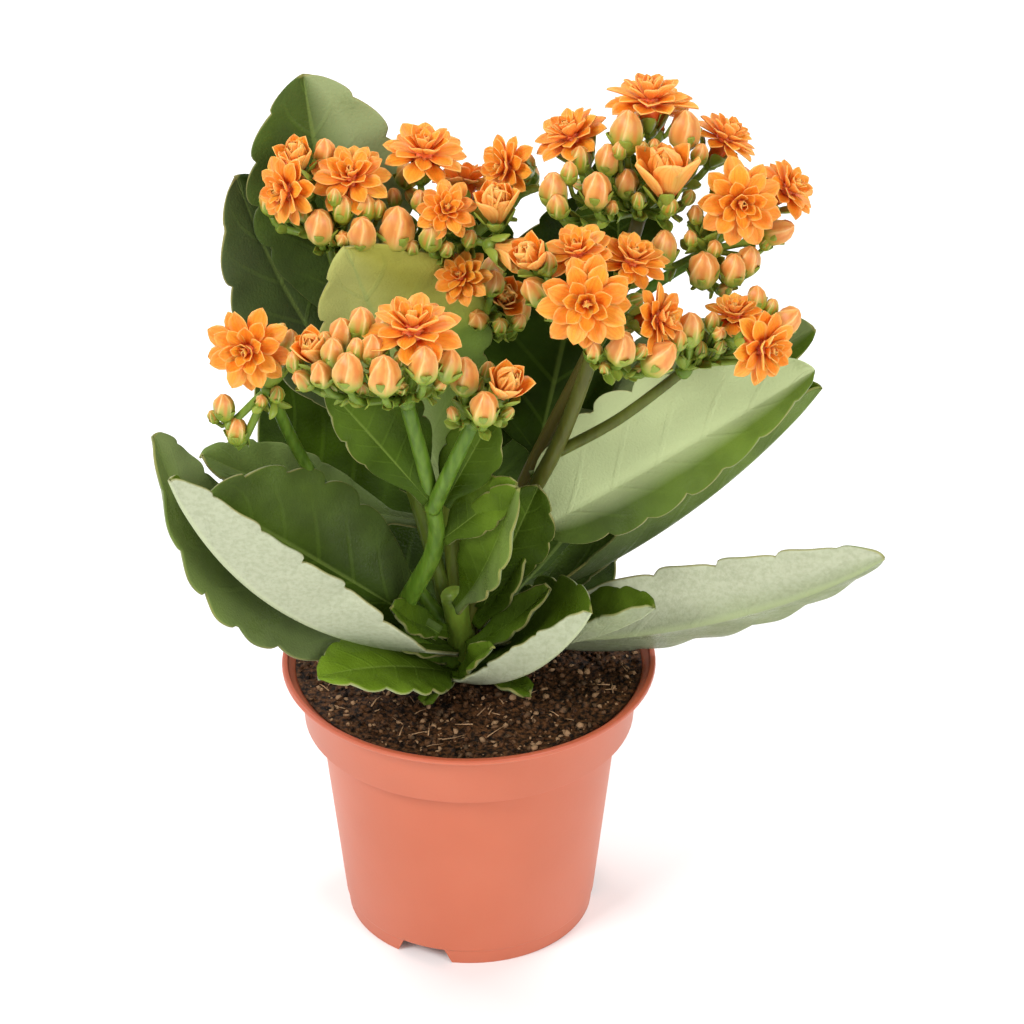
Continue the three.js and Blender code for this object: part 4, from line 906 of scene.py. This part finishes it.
# %% Grow the sprays
def spray_piece(name, head, seed):
    root = Vector(head.stem[-1]) * MM
    luck = random.Random(seed)
    piece = new_part()
    knuckle = Matrix.Translation(root)
    pour(piece, CUP, knuckle @ Matrix.Scale(KNUCKLE_RADIUS, 4), 0, 0.1)
    for i in range(BRACTS):
        turn = about("Z", 2 * math.pi * (i + luck.uniform(-0.2, 0.2)) / BRACTS)
        lean = about("Y", math.radians(-luck.uniform(*BRACT_LEAN)))
        size = Matrix.Scale(luck.uniform(*BRACT_LENGTH) * MM, 4)
        pour(piece, CURVED_PETAL, knuckle @ turn @ lean @ size, 0, 0.55)
    paths = []
    for flower in head.blooms:
        pose, _ = placed(flower)
        paths.append(stalk_to(root, pose, -BLOOM_NECK - 2 * MM))
        pour_cup(piece, pose, BLOOM_CUP_RADIUS, -BLOOM_NECK, luck)
    for flower in head.halves:
        pose, radius = placed(flower)
        paths.append(stalk_to(root, pose, -radius * 1.3))
        pour_cup(piece, pose, BLOOM_CUP_RADIUS, -radius * 0.9, luck)
        pour_petals(piece, pose, radius, HALF_OPEN_RINGS, luck, slot=2)
    for bud in head.buds:
        pose, radius = placed(bud, BUD_LIFT, STEEPEST)
        paths.append(stalk_to(root, pose, -radius * BUD_SLENDERNESS))
        pour_bud(piece, pose, radius, luck)
    for path in paths:
        pour_stalk(piece, path, (STALK_RADIUS * 1.25, STALK_RADIUS), tone=0.25)
        pour_bracts(piece, path, luck)
    for path in paths[:len(head.blooms)]:
        side_bud(piece, path, luck)
    for bud in head.small:
        pose, radius = placed(bud, BUD_LIFT, STEEPEST)
        path = stalk_to(root, pose, -radius * BUD_SLENDERNESS)
        pour_stalk(piece, path, (STALK_RADIUS, STALK_RADIUS * 0.7), sides=6, tone=0.45)
        pour_bracts(piece, path, luck)
        pour_bud(piece, pose, radius, luck)
    finish_piece(piece, f"{name}_growth", [STALK, BUD, PETAL], "bud", name)


for number, (head_name, head) in enumerate(HEADS.items()):
    spray_piece(f"spray_{head_name}", head, 7 + number)

# %% [markdown]
# ## Stem
#
# The trunk is short and thick, and the flower stems leave it low down and bend outwards.
# Each is extruded along a smooth path, and small young leaves sit where they part and at the trunk's foot.

# %% Build the stem
TRUNK = ((-1, -4, 60), (-1, -4, 72), (-2, -7, 92), (-4, -11, 108))
TRUNK_RADII = (4.7, 3.6)
# Young leaves: stalk, tip, facing, half widths, folds, bow up and to the right. In mm.
YOUNG_LEAVES = (
    ((-2, -14, 84), (6, -30, 103), (-0.3, -0.6, 0.7), (4, 4), (25, 25), 0, 0),
    ((0, -13, 92), (22, -24, 118), (-0.5, -0.5, 0.7), (5, 6), (25, 20), -2, 0),
    ((-6, -14, 98), (-20, -30, 116), (0.4, -0.5, 0.8), (5, 5), (20, 20), -2, 0),
    ((2, -10, 98), (16, -16, 132), (-0.4, -0.8, 0.4), (6, 6), (30, 30), 0, 2),
    ((-3, -8, 88), (-26, -20, 104), (0.3, -0.3, 0.9), (6, 6), (15, 15), -2, 0),
    ((2, -7, 80), (17, -23, 84), (-0.2, 0, 1), (4, 4), (10, 15), 1, 0),
    ((-4, -8, 80), (-12, -26, 83), (0.1, 0, 1), (3, 3), (10, 10), 1, 0),
)
# Stems with a tone below 0 are browner and darker: partly their own colour and partly painted shade where
# they stand in the plant's shade.
BROWNED_AND_SHADED_STEMS = {"right": -0.9, "right_low": -0.6, "centre": -0.7, "middle": -0.5, "left": -0.4, "rear": -0.5}
stem = new_part()
pour_stalk(stem, smooth_path(TRUNK, 6), [r * MM for r in TRUNK_RADII], 14, 0.3)
for head_name, head in HEADS.items():
    radii = [r * MM for r in head.radii]
    pour_stalk(stem, smooth_path(head.stem, 8), radii, 12, BROWNED_AND_SHADED_STEMS.get(head_name, 0.0))
for number, spec in enumerate(YOUNG_LEAVES):
    pour(stem, leaf_mesh(spec, 3, 0.3, 0.54, 0.25, (0.3, 0.3), (0, 0), 50 + number), slot=1)
finish_piece(stem, "stem_growth", [STALK, LEAF], "stem", "stem")

# %% [markdown]
# ## Pot
#
# The pot is thin moulded plastic: a tapering body, a wider band, a flared lip and a notched foot.
# A profile is spun around, and every edge that runs round it is given a small bevel, as a moulding has.
# The notches and drain holes are cut with simple shapes, and those are then thrown away.

# %% Pot finish
POT_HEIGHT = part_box("pot")[1].z
LIP_SHADE = (POT_HEIGHT - 1 * MM, POT_HEIGHT - 0.3 * MM)


def pot_finish():
    plastic = Recipe("terracotta plastic", Roughness=0.42, Subsurface_Weight=0.12, Subsurface_Scale=0.002)
    cloud = plastic.fade(plastic.mottle(25, 3), 0.3, 0.7)
    colour = plastic.mix(cloud, (0.52, 0.125, 0.056), (0.555, 0.142, 0.068))
    height = plastic.node("ShaderNodeSeparateXYZ", {0: plastic.place()}).outputs["Z"]
    colour = plastic.mix(plastic.fade(height, *LIP_SHADE), colour, (0.47, 0.1, 0.045))
    grain = plastic.maths("ADD", plastic.mottle(900, 3), plastic.times(plastic.mottle(60, 1), 3.0))
    plastic.relief(grain, 0.05, 0.5)
    return plastic.done(colour)


POT = pot_finish()
print("pot height", round(POT_HEIGHT, 4))

# %% Pot shape
OUTSIDE = ((0, 0), (12, 0), (14, 5), (32.6, 5), (33.2, 0), (35, 0), (35.35, 4.5), (35.8, 4.9),
           (42, 62.2), (42.1, 62.9), (46.4, 63.1), (47.6, 76.5), (52.5, 79.8), (52.3, 81))
INSIDE = ((50.8, 81), (50.7, 80.3), (46.4, 76.8), (45.2, 64.5), (40.8, 63.3), (34.4, 6.2),
          (14.6, 6.2), (11.4, 1.2), (0, 1.2))
POT_STEPS = 96
EDGE_ROUNDING = 0.3
ROUNDED_ABOVE = math.radians(14)
SHARP_ABOVE = math.radians(32)
NOTCHES, NOTCH_HEIGHT, NOTCH_DEPTH = 3, 4.6, 12
NOTCH_WIDTHS = (17.5, 12.5)
NOTCH_PLACE = 34
FIRST_NOTCH_DEG = -111.7
DRAINS, DRAIN_RADIUS, DRAIN_CIRCLE = 6, 3, 23
DRAIN_MIDDLE, DRAIN_DEPTH = 5.6, 4


def cutter(part, name):
    """Makes an object of a shape drawn in mm."""
    bmesh.ops.scale(part, verts=part.verts, vec=(MM, MM, MM))
    return add_object(name, as_mesh(part, name))


def notch_cutter(angle):
    """A block with sloping sides, set across the foot."""
    part = bmesh.new()
    bmesh.ops.create_cube(part, size=1)
    bmesh.ops.scale(part, verts=part.verts, vec=(NOTCH_DEPTH, NOTCH_WIDTHS[0], NOTCH_HEIGHT + 1))
    bmesh.ops.translate(part, verts=part.verts, vec=(NOTCH_PLACE, 0, (NOTCH_HEIGHT - 1) / 2))
    top = [vert for vert in part.verts if vert.co.z > 0]
    bmesh.ops.scale(part, verts=top, vec=(1, NOTCH_WIDTHS[1] / NOTCH_WIDTHS[0], 1))
    bmesh.ops.rotate(part, verts=part.verts, cent=(0, 0, 0), matrix=Matrix.Rotation(angle, 3, "Z"))
    return cutter(part, "notch cutter")


def drain_cutter(angle):
    part = bmesh.new()
    place = about("Z", angle) @ Matrix.Translation((DRAIN_CIRCLE, 0, DRAIN_MIDDLE))
    sizes = {"radius1": DRAIN_RADIUS, "radius2": DRAIN_RADIUS, "depth": DRAIN_DEPTH}
    bmesh.ops.create_cone(part, cap_ends=True, segments=20, matrix=place, **sizes)
    return cutter(part, "drain cutter")


# %% Build the pot
def cut_away(item, cutters):
    """Cuts shapes out of an object, keeps the result as its mesh and removes the shapes."""
    for other in cutters:
        cut = item.modifiers.new("cut", "BOOLEAN")
        cut.operation, cut.solver, cut.object = "DIFFERENCE", "EXACT", other
    shown = item.evaluated_get(bpy.context.evaluated_depsgraph_get())
    mesh = bpy.data.meshes.new_from_object(shown)
    item.modifiers.clear()
    item.data = mesh
    for other in cutters:
        bpy.data.objects.remove(other)


def is_ring(edge):
    """Whether an edge runs level around the pot, away from its axis, and is sharp enough to round."""
    a, b = (vert.co for vert in edge.verts)
    if abs(a.z - b.z) >= 1e-6 or abs(a.xy.length - b.xy.length) >= 1e-5 or a.xy.length <= 1 * MM:
        return False
    return len(edge.link_faces) == 2 and edge.calc_face_angle() > ROUNDED_ABOVE


pot = turned_part([(radius * MM, height * MM) for radius, height in (*OUTSIDE, *INSIDE)], POT_STEPS)
bmesh.ops.recalc_face_normals(pot, faces=pot.faces)
rings = [edge for edge in pot.edges if is_ring(edge)]
rounding = {"offset": EDGE_ROUNDING * MM, "offset_type": "OFFSET", "segments": 2}
bmesh.ops.bevel(pot, geom=rings, affect="EDGES", profile=0.5, material=-1, **rounding)
pot_piece = finish_piece(pot, "pot_moulding", [POT], "pot", "pot")
notches = [notch_cutter(math.radians(FIRST_NOTCH_DEG + 360 / NOTCHES * i)) for i in range(NOTCHES)]
drains = [drain_cutter(math.radians(360 / DRAINS * i)) for i in range(DRAINS)]
cut_away(pot_piece, notches + drains)
pot_piece.data.set_sharp_from_angle(angle=SHARP_ABOVE)
print("pot after cuts:", len(pot_piece.data.polygons), "faces")

# %% [markdown]
# ## Soil
#
# The soil is moist peat: nearly black crumbs with paler fibres and bits, a little below the lip.
# Its body is spun like the pot, with many rings on top that are lifted by noise.
# Thousands of small crumbs and some fibres, scattered from a fixed seed, break up the surface.


# %% Soil finish
def soil_finish():
    peat = Recipe("moist peat", Roughness=0.6, Specular_IOR_Level=0.15)
    fine = peat.fade(peat.mottle(700, 5), 0.35, 0.7)
    dark = peat.mix(fine, (0.005, 0.0025, 0.0012), (0.11, 0.045, 0.016))
    peat.relief(peat.mottle(900, 5), 1.0, 0.9)
    return peat.done(peat.mix(peat.read("tone"), dark, (0.5, 0.3, 0.16)))


SOIL = soil_finish()
print("finish:", SOIL.name)

# %% Soil shapes
SOIL_EDGE = 78
SOIL_HEAP = 1.5
SOIL_RADIUS = 48.6
SOIL_BANK = 1  # the crumbs bank up a little at the wall
SOIL_BELOW = ((0, 1.6), (10.8, 1.6), (14.2, 6.6), (34, 6.6), (40.4, 63.6), (44.9, 65.3), (46.1, 76.6))
SOIL_RINGS, SOIL_STEPS = 40, 110
CRUMBS, CRUMB_SHAPES = 2800, 6
CRUMB_SIZES = (0.35, 0.4, 0.5, 0.6, 0.8, 1, 1.4)
CRUMB_TONES = (0, 0, 0, 0, 0.05, 0.15, 0.6)
FIBRES = 90
FIBRE_RADII = (0.22 * MM, 0.1 * MM)


def soil_height(x, y):
    """The height of the soil's surface over a point, all in mm."""
    spread = min(math.hypot(x, y) / SOIL_RADIUS, 1)
    clods = noise.fractal(Vector((x, y, 0)) * 0.13, 1.0, 2.1, 4)
    return SOIL_EDGE + SOIL_HEAP * (1 - spread**2) + SOIL_BANK * spread**6 + 1.2 * clods * (1 - spread**8)


def soil_spot(margin):
    """A random point on the soil, at least this far from the wall, all in mm."""
    angle, spread = luck.uniform(0, 2 * math.pi), (SOIL_RADIUS - margin) * math.sqrt(luck.random())
    return spread * math.cos(angle), spread * math.sin(angle)


def crumb_mesh():
    """A crumb with dented, uneven sides."""
    part = new_part()
    bmesh.ops.create_icosphere(part, subdivisions=1, radius=1)
    for vert in part.verts:
        vert.co *= luck.uniform(0.5, 1.2)
    return as_mesh(part, "crumb")


# %% Build the soil
top = [(SOIL_RADIUS * (1 - i / SOIL_RINGS), SOIL_EDGE) for i in range(1, SOIL_RINGS)]
soil_profile = [*SOIL_BELOW, (SOIL_RADIUS, SOIL_EDGE + SOIL_BANK), *top, (0, SOIL_EDGE)]
body = turned_part([(radius * MM, height * MM) for radius, height in soil_profile], SOIL_STEPS)
for vert in body.verts:
    if vert.co.z > (SOIL_EDGE - 0.1) * MM and vert.co.xy.length < (SOIL_RADIUS - 0.3) * MM:
        vert.co.z = soil_height(vert.co.x / MM, vert.co.y / MM) * MM
soil = new_part()
pour(soil, as_mesh(body, "soil body"))
luck = random.Random(11)
crumbs = [crumb_mesh() for _ in range(CRUMB_SHAPES)]
for _ in range(CRUMBS):
    x, y = soil_spot(1)
    size = luck.choice(CRUMB_SIZES)
    spin = about("X", luck.uniform(0, 3)) @ about("Z", luck.uniform(0, 6))
    shape = Matrix.Diagonal((size, size * luck.uniform(0.5, 1), size * luck.uniform(0.4, 0.9), 1 / MM)) * MM
    spot = Matrix.Translation(Vector((x, y, soil_height(x, y) + size * 0.15)) * MM)
    pour(soil, luck.choice(crumbs), spot @ spin @ shape, 0, luck.choice(CRUMB_TONES))
for _ in range(FIBRES):
    (x, y), lie = soil_spot(5), luck.uniform(0, math.pi)
    length = luck.uniform(2, 7)
    line = []
    for along in (-0.5, 0, 0.5):
        px, py = x + along * length * math.cos(lie), y + along * length * math.sin(lie)
        line.append(Vector((px, py, soil_height(px, py) + 0.4 - abs(along) * 0.3)) * MM)
    pour_stalk(soil, line, FIBRE_RADII, sides=4, tone=luck.uniform(0.5, 1))
finish_piece(soil, "soil_crumbs", [SOIL], "soil", "soil")

# %% [markdown]
# ## Floor and light
#
# The photograph is a studio picture on white: soft light from everywhere and hardly a shadow.
# A pale floor, a dim white world and four large soft lamps give that. They stand all round, so that no shadow
# is deep, and the strongest is at the left front, where it makes the leaves shine.

# %% Floor and light
FLOOR_HALF = 3  # metres
WORLD_STRENGTH = 0.42
# place, size and watts
LAMPS = {
    "back left": ((-0.7, 0.7, 1.1), 0.8, 9),
    "back right": ((0.7, 0.7, 1.1), 0.8, 10),
    "left front": ((-0.9, -0.8, 1.1), 0.6, 16),
    "right front": ((0.8, -0.9, 0.6), 0.6, 8),
}

white = Recipe("white ground", Roughness=0.8)
tint = white.mix(white.mottle(3), (0.9, 0.9, 0.9), (0.92, 0.92, 0.92))
floor_part = bmesh.new()
bmesh.ops.create_grid(floor_part, x_segments=1, y_segments=1, size=FLOOR_HALF)
floor_mesh = bpy.data.meshes.new("floor")
floor_part.to_mesh(floor_mesh)
floor_part.free()
floor_mesh.materials.append(white.done(tint))
floor = add_object("floor", floor_mesh)

world = bpy.data.worlds.new("studio")
world.use_nodes = True
backdrop = world.node_tree.nodes["Background"]
backdrop.inputs["Color"].default_value = (1, 1, 1, 1)
backdrop.inputs["Strength"].default_value = WORLD_STRENGTH
bpy.context.scene.world = world
bpy.context.scene.view_settings.view_transform = "Standard"

for name, (place, size, watts) in LAMPS.items():
    lamp = add_object(name, bpy.data.lights.new(name, "AREA"))
    lamp.data.size, lamp.data.energy = size, watts
    lamp.location = place
    lamp.rotation_euler = (VIEW_TARGET - Vector(place)).to_track_quat("-Z", "Y").to_euler()
print(len(LAMPS), "lamps set")
